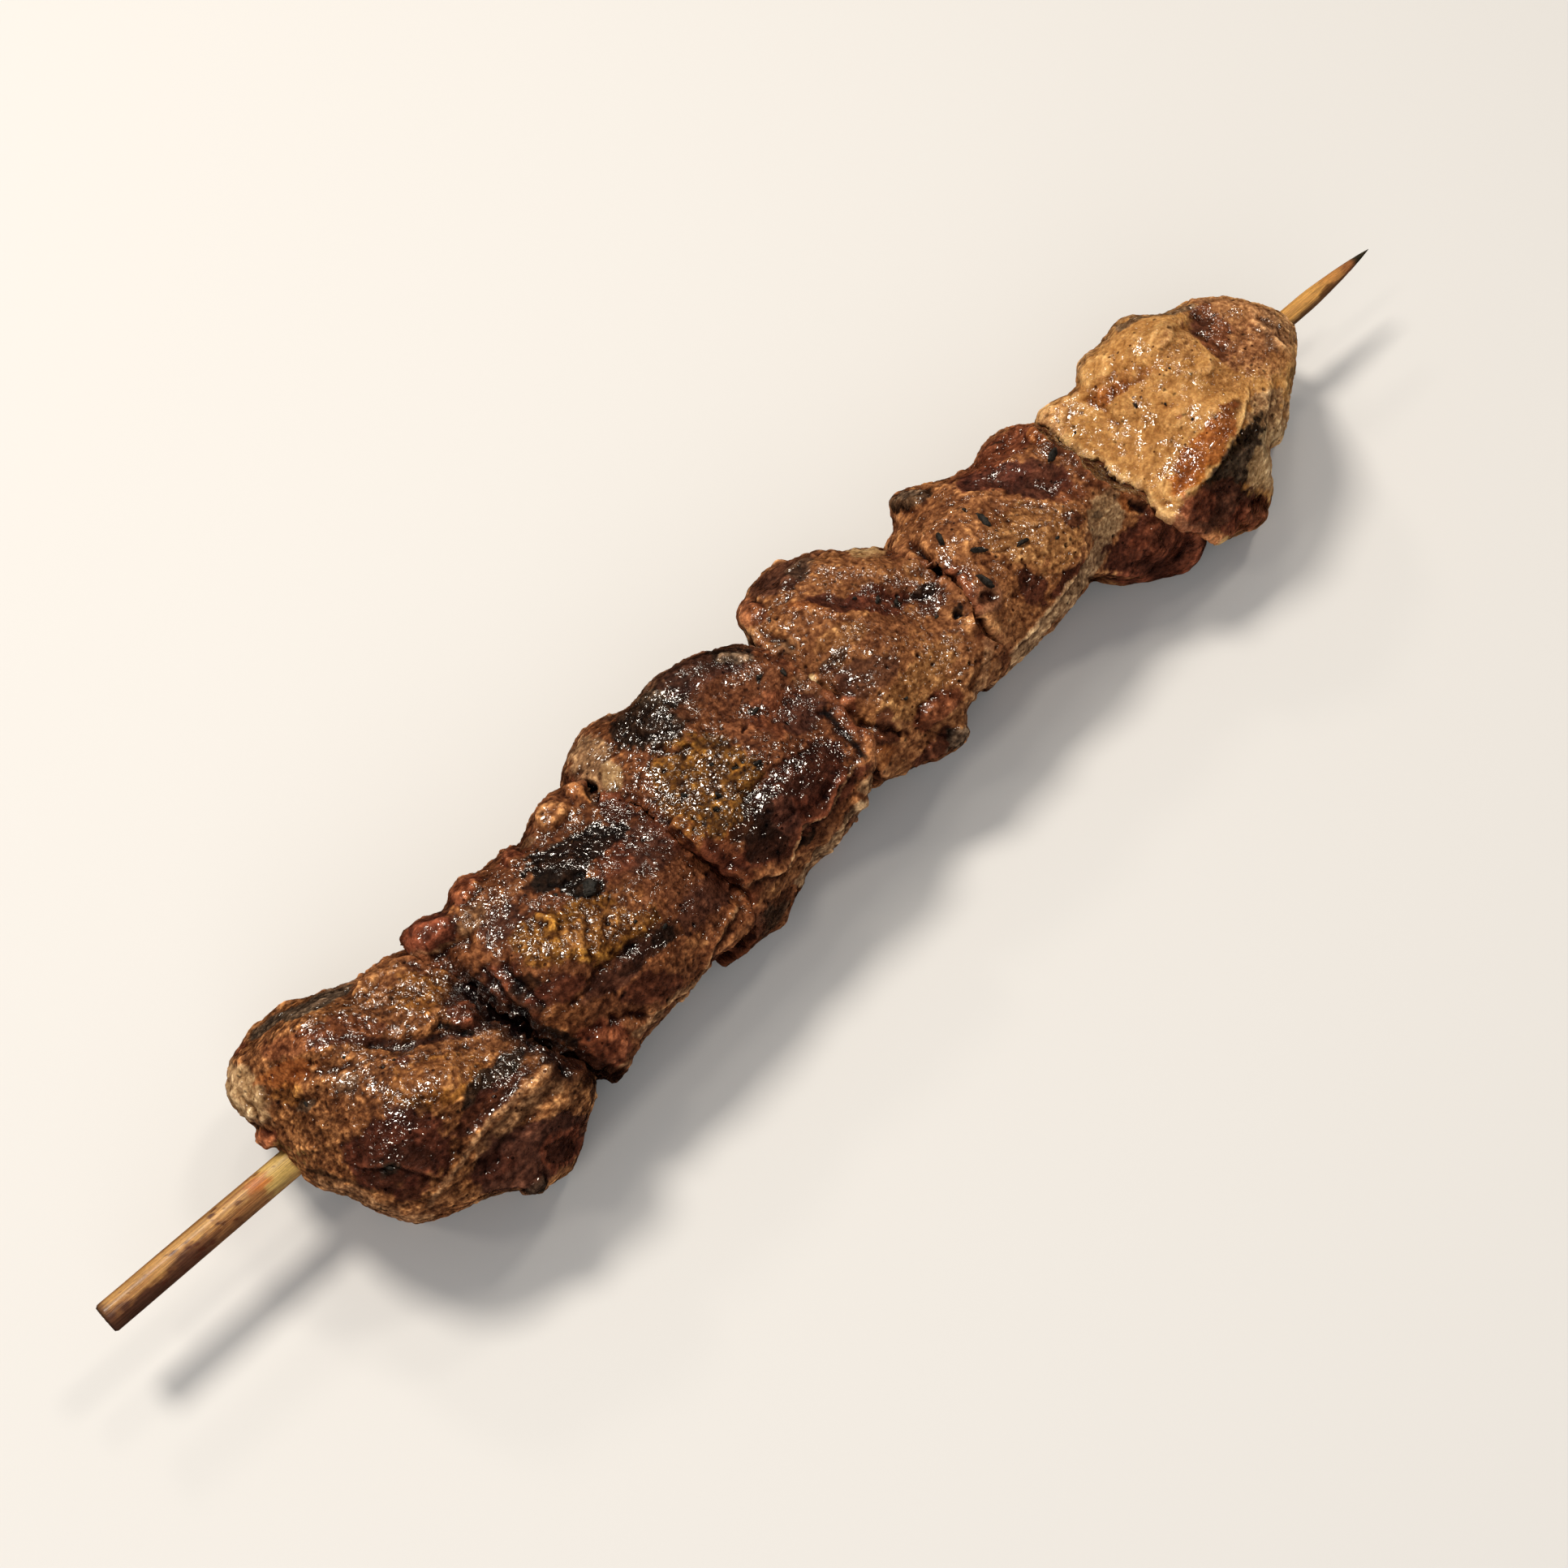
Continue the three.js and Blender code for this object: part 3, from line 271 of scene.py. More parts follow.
             ('fold', -0.8, 0.9, 2, -4.3, 3.9, -8.4, 5.6, -11.1), ('dome', 0.7, 2.7, -1.4, 2, 1.6, -158.8),
             ('lump', 0.5, 22, 12.9, 4.8, 2.6, 156.4), ('dome', 0.5, 6.6, -15.4, 2.7, 1.5, -176.2),
             ('dome', 0.7, 10.1, -16, 2.3, 1.1, -177.5), ('fold', -0.6, 0.9, 16.6, -13, 20.7, -11.4, 23.5, -9),
             ('fold', 0.2, 0.9, 1.2, 16.4, 2.1, 13.6, 2.9, 10.8),
             ('fold', -0.5, 0.8, 3.2, 16.9, 3.9, 13.6, 4.6, 9.9), ('lump', -0.5, 22.4, 5.4, 3.4, 2.1, 143.5),
             ('fold', -0.6, 1.2, 1, 0.7, -0.1, -3.8, -1.3, -10), ('fold', -0.8, 0.8, 29.8, 9.7, 28.6, 4)]),
    dict(name='chunk_5', centre=(42, -1.5),
         faces=[(-80, 80, 13.8), (100, 58, 15.5), (-85, 35, 13.2), (-88, 0, 14), (-85, -35, 15.5), (100, 35, 18.5), (90, 0, 20), (95, -38, 18), (60, -79, 14.2)],
         outline=[24.1, 26.4, 24.6, 22.5, 17.6, 17.8, 21.8, 20.4, 23, 20.3, 22, 33.6, 20.5, 14.6, 11.8, 11, 11.1, 24.7, 31.6, 23.8],
         lobes=[], spurs=[(55.5, -8, 7, 62.6, -12.2, 6.4, 5.2, 3.5)],
         base='brown', top='tan', grain=(-34, 0), rough=0.9, lumpy=0.9,
         # painted shade among these marks: the dark in the pits and in the groove
         marks=[
             ('char', 0.9, 0.3, 36.2, 16.9, 3.4, 1.4, 161.8), ('ash', 0.6, 0.4, 36.7, 17.1, 1.9, 0.8, 161.6),
             ('redbrown', 0.85, 0.35, 51.5, 14.3, 7.9, 2.6, 177.7),
             ('redbrown', 0.7, 0.35, 48.2, 11.2, 6.2, 2.4, 155.5), ('plum', 0.85, 0.35, 47.7, 11.6, 5.6, 2, 155.1),
             ('plum', 0.9, 0.35, 52.8, 6.3, 6.4, 3.5, 136.6), ('redbrown', 0.6, 0.4, 55.8, 1.8, 3.9, 3.2, 166.3),
             ('orange', 0.9, 0.25, 58.1, 12.3, 1.5, 1.1, 49.3), ('char', 0.85, 0.25, 53, 15.1, 0.9, 0.6, 174.3),
             ('sand', 0.95, 0.35, 44.4, -0.1, 7, 5.5, 160), ('brown', 0.5, 0.4, 34.3, 10.7, 4.6, 2.9, -170.3),
             ('redbrown', 0.7, 0.4, 29.8, 1.8, 3.1, 2.4, 54.3), ('purple', 0.75, 0.35, 30.8, -3, 3, 2.5, -168.8),
             ('sand', 0.85, 0.35, 45.1, -5.5, 4.4, 1.8, -168.4), ('maroon', 0.92, 0.3, 36.9, -6.4, 3.8, 2.2, 52.5),
             ('maroon', 0.92, 0.3, 41.8, -9.3, 4.8, 1.1, -170.7), ('maroon', 0.88, 0.3, 50, -2.6, 1.7, 1.3, -145),
             ('~buff', 0.95, 0.35, 1.14, 20.1, -13.7, 30.1, -12.2, 39.2, -11.1, 46.6, -9.8, 53.5, -7),
             # buff gives this near-side facet its grey; the cream over it is painted fill light for the shade it lies
             # in
             ('buff', 0.9, 0.4, 53.9, -5.4, 5.2, 2.5, -149.8), ('cream', 0.18, 0.7, 54.5, -4.9, 5.1, 2.2, -150),
             ('ash', 0.6, 0.3, 53.6, -4.2, 0.9, 0.7, -158), ('orange', 0.85, 0.3, 58.2, -5.7, 1.8, 0.9, 70.6),
             ('tan', 0.8, 0.4, 58.7, 2.8, 5.2, 2.5, 70.7), ('dark', 0.85, 0.5, 58.7, -7.7, 1.8, 0.8, 71.2),
             ('wine', 0.95, 0.3, 55.5, -15.1, 9.6, 6.1, 167.3), ('redbrown', 0.6, 0.4, 57.9, -13.7, 5.3, 3.6, 169.7),
             ('glaze', 0.3, 0.4, 57.4, -11.7, 3.1, 1.7, -174.5), ('dark', 0.92, 0.2, 25.6, -1.9, 0.8, 0.6, -141.7),
             ('dark', 0.8, 0.3, 45.5, -5, 0.4, 0.3, -158.5), ('~dark', 0.7, 0.4, 0.30, 30.3, 10.6, 28.5, 3.3)],
         forms=[
             ('dome', 1, 36.2, 16.9, 3.4, 1.6, 162.7),
             ('fold', -0.6, 1.8, 43.8, 14.7, 47.8, 9.7, 52.2, 4.3, 57, -1.1),
             ('dome', 0.7, 58.1, 12.3, 1.5, 1.1, 48.8), ('dome', -1, 25.6, -1.9, 0.9, 0.7, -141.7),
             ('dome', -0.5, 58.8, -7.5, 1.9, 1, 69.8),
             ('step', 0.6, 2.2, 21.4, -12.3, 29.3, -11.5, 35.3, -11.1, 42.5, -9.9, 48.3, -6.9, 52.4, -3.6),
             ('dome', -0.6, 45.5, -5, 0.5, 0.4, -157.2), ('dome', 0.3, 52, -12.7, 2, 1.6, -147.2),
             ('dome', 0.9, 57.1, -13.7, 5.9, 4.1, -165.3), ('lump', 0.5, 44.4, -0, 6.9, 5.3, 159.6),
             ('fold', -0.5, 0.9, 31.5, 14.1, 29.4, 7.7, 28.4, 1.9), ('dome', -0.6, 31, -3, 2, 1.3, -170.4),
             ('lump', 0.4, 51.6, 14.7, 3.2, 2, -169.6), ('fold', 0.4, 1, 40.9, 13.3, 44.8, 7.8, 49.8, 2.9),
             ('fold', -0.4, 0.9, 33.3, -6.7, 38.2, -4.8, 39.9, -2), ('dome', 0.5, 61.3, -16.6, 3.1, 2.4, 50.5),
             ('fold', -0.8, 0.8, 30.5, 11.1, 28.4, 2.9)]),
    dict(name='chunk_6', centre=(80, -0.5),
         faces=[(-40, 80, 15), (170, 60, 17.5), (-80, 38, 17.5), (-92, 10, 19.5), (-90, -42, 22.5), (95, 42, 16.8), (90, 0, 19.5), (95, -38, 17.5), (-15, 32, 21.5), (5, -5, 25), (0, -42, 21.5), (-150, -81, 14.3)],
         outline=[23.5, 23.2, 21.5, 18.6, 19.5, 17.6, 18.1, 17.7, 25.9, 25.4, 25.6, 28.2, 28.2, 26, 21.9, 15.3, 14.4, 14.3, 15, 19.1],
         lobes=[], spurs=[],
         base='tan', top='fat', grain=(30, 0), rough=0.8, lumpy=1.15,
         marks=[
             ('orange', 0.5, 0.6, 74.2, 10.7, 5.5, 1.9, 178.1), ('tan', 0.45, 0.5, 62.9, 11.9, 3.7, 2.8, -144.2),
             ('skin', 0.35, 0.5, 88.5, 9, 4, 3.2, 19.4), ('amber', 0.8, 0.4, 72.9, 9.6, 4, 1.4, 178.1),
             ('orange', 0.6, 0.4, 78.9, 8.9, 3, 1, -177.1), ('rind', 0.85, 0.5, 98.3, 6.3, 10.1, 7, 52.7),
             ('redbrown', 0.8, 0.6, 93.7, 6.9, 6.5, 2.4, 60.9), ('rind', 0.7, 0.5, 97, -1, 6.9, 4.9, -157.3),
             ('skin', 0.3, 0.6, 89, -1, 4.8, 3, -167.3), ('purple', 0.6, 0.35, 93.4, 9.5, 3.1, 1.3, 45.1),
             # a light line along the lit top edge: grey char with a painted highlight
             ('~ash', 0.85, 0.35, 0.52, 83.9, 17.2, 88.4, 16.5, 92.1, 13.5, 95.4, 12.2),
             ('~pale', 0.7, 0.35, 0.45, 68.9, 13, 72.2, 15.2, 75.5, 16.8, 81.2, 17.2),
             ('~pale', 0.3, 0.35, 0.28, 80, 8.2, 83.2, 4.4, 87.5, 1.8, 90.3, 4.3),
             ('amber', 0.95, 0.35, 74.1, -7.7, 10, 2.4, -167.5), ('maroon', 0.6, 0.35, 81.9, -6.3, 3.1, 1.4, -168),
             ('buff', 0.8, 0.5, 84.9, -10.9, 7.6, 2.8, -155.3), ('char', 0.97, 0.35, 74.8, -13.1, 10.4, 2.8, -164.5),
             ('ash', 0.4, 0.4, 74.6, -13.7, 7.7, 1.7, -164.9), ('char', 0.8, 0.5, 70, -16.4, 3.8, 3, -167.3),
             # the cream over the grey lightens this near-side face: painted fill light for the shade it lies in
             ('gray', 0.8, 0.4, 79.6, -15.9, 6.8, 2.8, -155.3), ('cream', 0.45, 0.5, 80.2, -15.4, 6.8, 2.6, -155.5),
             ('orange', 0.6, 0.35, 76.9, -7.6, 5.8, 1.9, -169.9),
             ('brown', 0.95, 0.35, 66.2, -16.3, 7.2, 4.6, 174.7),
             ('purple', 0.75, 0.35, 66.5, -15.6, 6.7, 3.6, 170.6),
             ('redbrown', 0.7, 0.35, 65.2, -14.1, 3.5, 2.7, -149),
             ('redbrown', 0.95, 0.3, 68.8, -20.6, 5, 2.9, -173.3),
             ('char', 0.35, 0.4, 71.6, -18.6, 2.4, 1.8, -150.1), ('pale', 0.8, 0.35, 101, -0.1, 4.2, 2.8, 56),
             ('~dark', 0.6, 0.35, 0.34, 94.9, -7.9, 98.9, -6.4, 103.3, -2.4),
             ('pale', 0.6, 0.4, 98.7, 11.8, 3, 1.3, 143.7), ('char', 0.85, 0.2, 73.9, 5.3, 0.5, 0.3, -166.3),
             ('char', 0.85, 0.2, 77.3, 2.4, 0.4, 0.2, -161.3), ('redbrown', 0.8, 0.2, 77.1, -0.9, 0.5, 0.3, -165.5),
             ('char', 0.7, 0.2, 63.4, 8.4, 0.3, 0.2, -170)],
         forms=[
             ('dome', 0.4, 63, 12.3, 3.6, 2.6, -159.6), ('dome', 0.7, 74.7, 14.1, 5.3, 2.6, -173.6),
             ('dome', 0.5, 75.6, -0.6, 3.5, 2.5, -162.1), ('dome', 0.25, 65.5, -7.7, 3.4, 2, -172.7),
             ('dome', 0.5, 87, 11.7, 4.2, 2.6, -167.6), ('fold', -0.45, 1, 69.7, 12.5, 69.4, 8.8, 69.3, 4.6),
             ('fold', -0.25, 0.8, 62.5, 6.2, 60.4, -2.1, 64.9, -1.6),
             ('fold', -0.5, 1.2, 69.2, 8.2, 73.4, 9.3, 78.2, 8.3, 82, 9.9),
             ('fold', 0.3, 0.9, 80, 8.2, 83.2, 4.4, 87.5, 1.8, 90.3, 4.3),
             ('step', 0.6, 3, 60.3, -8.6, 65.1, -11.2, 72.6, -11.3, 79.8, -9.3, 86.3, -6.2, 90.6, -3.2),
             ('fold', 0.45, 0.8, 79.4, -14.4, 86.5, -9.4, 93.7, -4.8),
             ('fold', 0.45, 0.8, 81.2, -15.9, 89.6, -10.4, 94, -7.4),
             ('fold', -0.45, 0.8, 80.3, -15.1, 88, -9.9, 93.9, -6.1), ('dome', 0.7, 69.4, -20.7, 3, 2.3, -154.3),
             ('fold', 0.5, 0.7, 99.9, 4.3, 100.1, -0.5, 98.4, -4.2),
             ('fold', -0.5, 0.7, 101, 4.3, 101.4, -0.5, 99.7, -4.2),
             ('fold', -0.5, 1.2, 91.6, 11.7, 92.3, 6.4, 91.9, 1.1), ('lump', 0.4, 98.2, 6.4, 7.2, 5.2, 47.3)]),
]



# ------------------------------------------------------------------ fields
def smax(a, b, k):
    h = np.maximum(k - np.abs(a - b), 0) / k
    return np.maximum(a, b) + h * h * k * 0.25


def smin(a, b, k):
    return -smax(-a, -b, k)


def ramp(x, lo, hi):
    """0 below lo, 1 above hi, smooth between."""
    t = np.clip((x - lo) / (hi - lo), 0, 1)
    return t * t * (3 - 2 * t)


def radius_at(radii, turn):
    n = len(radii)
    t = (turn * n) % n
    i = np.floor(t).astype(int) % n
    f = t - np.floor(t)
    a, b, c, d = radii[(i - 1) % n], radii[i], radii[(i + 1) % n], radii[(i + 2) % n]
    return b + 0.5 * f * (c - a + f * (2 * a - 5 * b + 4 * c - d + f * (3 * (b - c) + d - a)))


def plan(p):
    """Where the line from PEAK through p meets the level of the skewer's axis."""
    t = (AXIS - PEAK[2]) / (p[:, 2] - PEAK[2])
    return PEAK[0] + (p[:, 0] - PEAK[0]) * t, PEAK[1] + (p[:, 1] - PEAK[1]) * t


def capsule(p, c):
    a, b = np.array(c[:3]), np.array(c[3:6])
    ab = b - a
    h = np.clip(((p - a) @ ab) / (ab @ ab), 0, 1)
    return np.linalg.norm(p - a - h[:, None] * ab, axis=1) - c[6]


def join_field(join, p):
    x0, a, b = join
    return (p[:, 0] - x0 - a * p[:, 1] - b * (p[:, 2] - AXIS)) / math.sqrt(1 + a * a + b * b)


def join_wave(i, p):
    """Neighbours meet along the same uneven surface."""
    y, z = p[:, 1], p[:, 2]
    wave = 0.55 * np.sin(0.42 * y + 2.1 * i) * np.cos(0.33 * z + 1.3 * i) + 0.3 * np.sin(0.9 * z - 0.5 * y + i)
    flat = np.stack([np.full(len(y), 3.3 * i + 0.4), y, z], 1)
    return wave + 1.4 * noise(flat, 7.0, 900 + i) + 0.8 * noise(flat, 3.0, 910 + i) + 0.35 * noise(flat, 1.3, 920 + i)


def chunk_field(i, p):
    c = CHUNKS[i]
    x, y, z = p[:, 0] - c["centre"][0], p[:, 1] - c["centre"][1], p[:, 2] - AXIS
    f = np.full(len(p), -1e3)
    for turn, rise, dist in c["faces"]:
        a, e = math.radians(turn), math.radians(rise)
        f = smax(f, (x * math.cos(a) + y * math.sin(a)) * math.cos(e) + z * math.sin(e) - dist, FACET_BLEND)
    s = 1.7 * (i + 1)
    f = f + LUMP * (np.sin(0.31 * p[:, 0] + 0.17 * p[:, 1] + s) * np.cos(0.29 * p[:, 2] - 0.21 * p[:, 1] + 2 * s)
                    + 0.7 * np.sin(0.23 * p[:, 1] - 0.27 * p[:, 0] + 0.19 * p[:, 2] + 3 * s))
    for lobe in c["lobes"]:
        f = smin(f, capsule(p, lobe), lobe[7])
    px, py = plan(p)
    px, py = px - c["centre"][0], py - c["centre"][1]
    edge = (np.hypot(px, py) - radius_at(c["radii"], np.arctan2(py, px) / (2 * math.pi)) + 0.3) * 0.9
    f = smax(f, edge, EDGE_BLEND)
    round_off = 1.2 + 1.8 * ramp(py, 0, 8)
    for k, sign in ((i, 1), (i - 1, -1)):
        if 0 <= k < len(JOINS):
            cut = sign * (join_field(JOINS[k], p) + join_wave(k, p)) + GAP
            f = smax(f, cut, JOIN_BLEND)
            f = smax(f, np.hypot(np.maximum(edge + round_off, 0), np.maximum(cut + round_off, 0)) - round_off, 0.5)
    for form in c["forms"]:
        if form[0] == "trim":
            # cut straight along a line, on the side away from the middle
            x0, y0, x1, y1 = form[3:]
            nx, ny = (y1 - y0) / math.hypot(x1 - x0, y1 - y0), (x0 - x1) / math.hypot(x1 - x0, y1 - y0)
            if (c["centre"][0] - x0) * nx + (c["centre"][1] - y0) * ny > 0:
                nx, ny = -nx, -ny
            f = smax(f, ((px + c["centre"][0] - x0) * nx + (py + c["centre"][1] - y0) * ny) * 0.9, 0.8)
    for spur in c["spurs"]:
        f = smin(f, capsule(p, spur), spur[7])
    if i > 0 and CHUNKS[i - 1]["spurs"]:
        f = smax(f, 0.35 - chunk_field(i - 1, p), 1)
    return smax(f, -p[:, 2], 1.2)


# ------------------------------------------------------------------ meshes
def geodesic(n):
    """A unit sphere of 20 n^2 even triangles."""
    t = (1 + 5 ** 0.5) / 2
    v = np.array([(-1, t, 0), (1, t, 0), (-1, -t, 0), (1, -t, 0), (0, -1, t), (0, 1, t), (0, -1, -t), (0, 1, -t),
                  (t, 0, -1), (t, 0, 1), (-t, 0, -1), (-t, 0, 1)], float)
    v /= np.linalg.norm(v[0])
    faces = [(0, 11, 5), (0, 5, 1), (0, 1, 7), (0, 7, 10), (0, 10, 11), (1, 5, 9), (5, 11, 4), (11, 10, 2), (10, 7, 6),
             (7, 1, 8), (3, 9, 4), (3, 4, 2), (3, 2, 6), (3, 6, 8), (3, 8, 9), (4, 9, 5), (2, 4, 11), (6, 2, 10),
             (8, 6, 7), (9, 8, 1)]
    pts, tris, at = [], [], {}

    def index(p):
        key = tuple(np.round(p, 6))
        if key not in at:
            at[key] = len(pts)
            pts.append(p)
        return at[key]

    for a, b, c in faces:
        grid = {}
        for i in range(n + 1):
            for j in range(n + 1 - i):
                p = (v[a] * (n - i - j) + v[b] * i + v[c] * j) / n
                grid[i, j] = index(p / np.linalg.norm(p))
        for i in range(n):
            for j in range(n - i):
                tris.append((grid[i, j], grid[i + 1, j], grid[i, j + 1]))
                if i + j < n - 1:
                    tris.append((grid[i + 1, j], grid[i + 1, j + 1], grid[i, j + 1]))
    return np.array(pts), np.array(tris)


def edges_of(tris):
    e = np.sort(np.concatenate([tris[:, [0, 1]], tris[:, [1, 2]], tris[:, [2, 0]]]), 1)
    return np.unique(e, axis=0, return_inverse=True)


def split(v, tris):
    """Each triangle into four."""
    e, inv = edges_of(tris)
    inv = inv.reshape(3, -1)
    mid = len(v) + inv
    ab, bc, ca = mid[0], mid[1], mid[2]
    v = np.concatenate([v, (v[e[:, 0]] + v[e[:, 1]]) / 2])
    t = np.concatenate([np.stack(s, 1) for s in ((tris[:, 0], ab, ca), (ab, tris[:, 1], bc), (ca, bc, tris[:, 2]), (ab, bc, ca))])
    return v, t


def relaxer(count, tris):
    e, _ = edges_of(tris)
    a, b = np.concatenate([e[:, 0], e[:, 1]]), np.concatenate([e[:, 1], e[:, 0]])
    deg = np.bincount(a, minlength=count)

    def mean(x):
        if x.ndim == 1:
            return np.bincount(a, x[b], count) / deg
        return np.stack([np.bincount(a, x[b, k], count) for k in range(x.shape[1])], 1) / deg[:, None]

    return mean


def normals_of(v, tris):
    a, b, c = v[tris[:, 0]], v[tris[:, 1]], v[tris[:, 2]]
    n = np.cross(b - a, c - a)
    out = np.stack([sum(np.bincount(tris[:, k], n[:, j], len(v)) for k in range(3)) for j in range(3)], 1)
    return out / (np.linalg.norm(out, axis=1, keepdims=True) + 1e-12)


def onto(i, v, steps=3, reach=1.2):
    """Newton steps onto the chunk's surface."""
    h = 0.05
    for _ in range(steps):
        f = chunk_field(i, v)
        g = np.stack([chunk_field(i, v + h * e) - f for e in np.eye(3)], 1) / h
        v = v - g * np.clip(f / ((g * g).sum(1) + 1e-6), -reach, reach)[:, None]
    return v


def chunk_base(i, levels):
    mid = np.array([*CHUNKS[i]["centre"], AXIS])
    d, tris = geodesic(10)
    mean = relaxer(len(d), tris)

    def march(d, start):
        outer = np.array(start, float)
        live = np.ones(len(d), bool)
        while live.any():
            f = chunk_field(i, mid + d[live] * (outer[live] - 0.5)[:, None])
            k = np.nonzero(live)[0]
            out = (f > 0) & (outer[k] > 2)
            outer[k[out]] -= 0.5
            live[k[~out]] = False
        inner = outer - 0.5
        for _ in range(12):
            m = (inner + outer) / 2
            out = chunk_field(i, mid + d * m[:, None]) > 0
            outer = np.where(out, m, outer)
            inner = np.where(out, inner, m)
        return mid + d * inner[:, None]

    v = march(d, np.full(len(d), 42.0))
    for _ in range(10):
        m = mean(v) - mid
        r = np.linalg.norm(m, axis=1)
        v = march(m / r[:, None], r + 4)
    for _ in range(levels):
        v, tris = split(v, tris)
        mean = relaxer(len(v), tris)
        n = normals_of(v, tris)
        d = mean(v) - v
        v = v + 0.6 * (d - n * (d * n).sum(1)[:, None])
        v = onto(i, v, 2)
    return v, tris


# ------------------------------------------------------------------ noise
def _hash(ix, iy, iz, seed):
    h = (ix.astype(np.int64) * 374761393 + iy.astype(np.int64) * 668265263 + iz.astype(np.int64) * 2147483629 + seed * 974634777) & 0xFFFFFFFF
    h = h.astype(np.uint32)
    h ^= h >> np.uint32(15)
    h = h * np.uint32(0x85EBCA6B)
    h ^= h >> np.uint32(13)
    h = h * np.uint32(0xC2B2AE35)
    h ^= h >> np.uint32(16)
    return h


def noise(p, size, seed=0):
    """Gradient noise, about -1 to 1, with features of this size (or sizes along x, y and z)."""
    q = p / np.asarray(size, float)
    base = np.floor(q)
    f = q - base
    base = base.astype(np.int64)
    w = f * f * f * (f * (f * 6 - 15) + 10)
    out = np.zeros(len(p))
    for cx in (0, 1):
        wx = w[:, 0] if cx else 1 - w[:, 0]
        for cy in (0, 1):
            wy = w[:, 1] if cy else 1 - w[:, 1]
            for cz in (0, 1):
                wz = w[:, 2] if cz else 1 - w[:, 2]
                h = _hash(base[:, 0] + cx, base[:, 1] + cy, base[:, 2] + cz, seed)
                gx = (h & np.uint32(1023)).astype(float) / 511.5 - 1
                gy = ((h >> np.uint32(10)) & np.uint32(1023)).astype(float) / 511.5 - 1
                gz = ((h >> np.uint32(20)) & np.uint32(1023)).astype(float) / 511.5 - 1
                out += wx * wy * wz * (gx * (f[:, 0] - cx) + gy * (f[:, 1] - cy) + gz * (f[:, 2] - cz))
    return out * 1.7


def fbm(p, size, octaves, seed=0, gain=0.5):
    out, amp, total = np.zeros(len(p)), 1.0, 0.0
    size = np.asarray(size, float)
    for k in range(octaves):
        out += amp * noise(p, size / 2 ** k, seed + 31 * k)
        total += amp
        amp *= gain
    return out / total


def cells(p, size, seed=0):
    """Distances to the nearest and second nearest of scattered points, in cell sizes, and a number per cell."""
    q = p / np.asarray(size, float)
    base = np.floor(q).astype(np.int64)
    best = np.full(len(p), 9.0)
    second = np.full(len(p), 9.0)
    which = np.zeros(len(p))
    for dx in (-1, 0, 1):
        for dy in (-1, 0, 1):
            for dz in (-1, 0, 1):
                cx, cy, cz = base[:, 0] + dx, base[:, 1] + dy, base[:, 2] + dz
                h = _hash(cx, cy, cz, seed)
                px = cx + (h & np.uint32(1023)).astype(float) / 1023
                py = cy + ((h >> np.uint32(10)) & np.uint32(1023)).astype(float) / 1023
                pz = cz + ((h >> np.uint32(20)) & np.uint32(1023)).astype(float) / 1023
                d = np.sqrt((q[:, 0] - px) ** 2 + (q[:, 1] - py) ** 2 + (q[:, 2] - pz) ** 2)
                near = d < best
                second = np.where(near, best, np.minimum(second, d))
                which = np.where(near, (h & np.uint32(65535)).astype(float) / 65535, which)
                best = np.where(near, d, best)
    return best, second, which
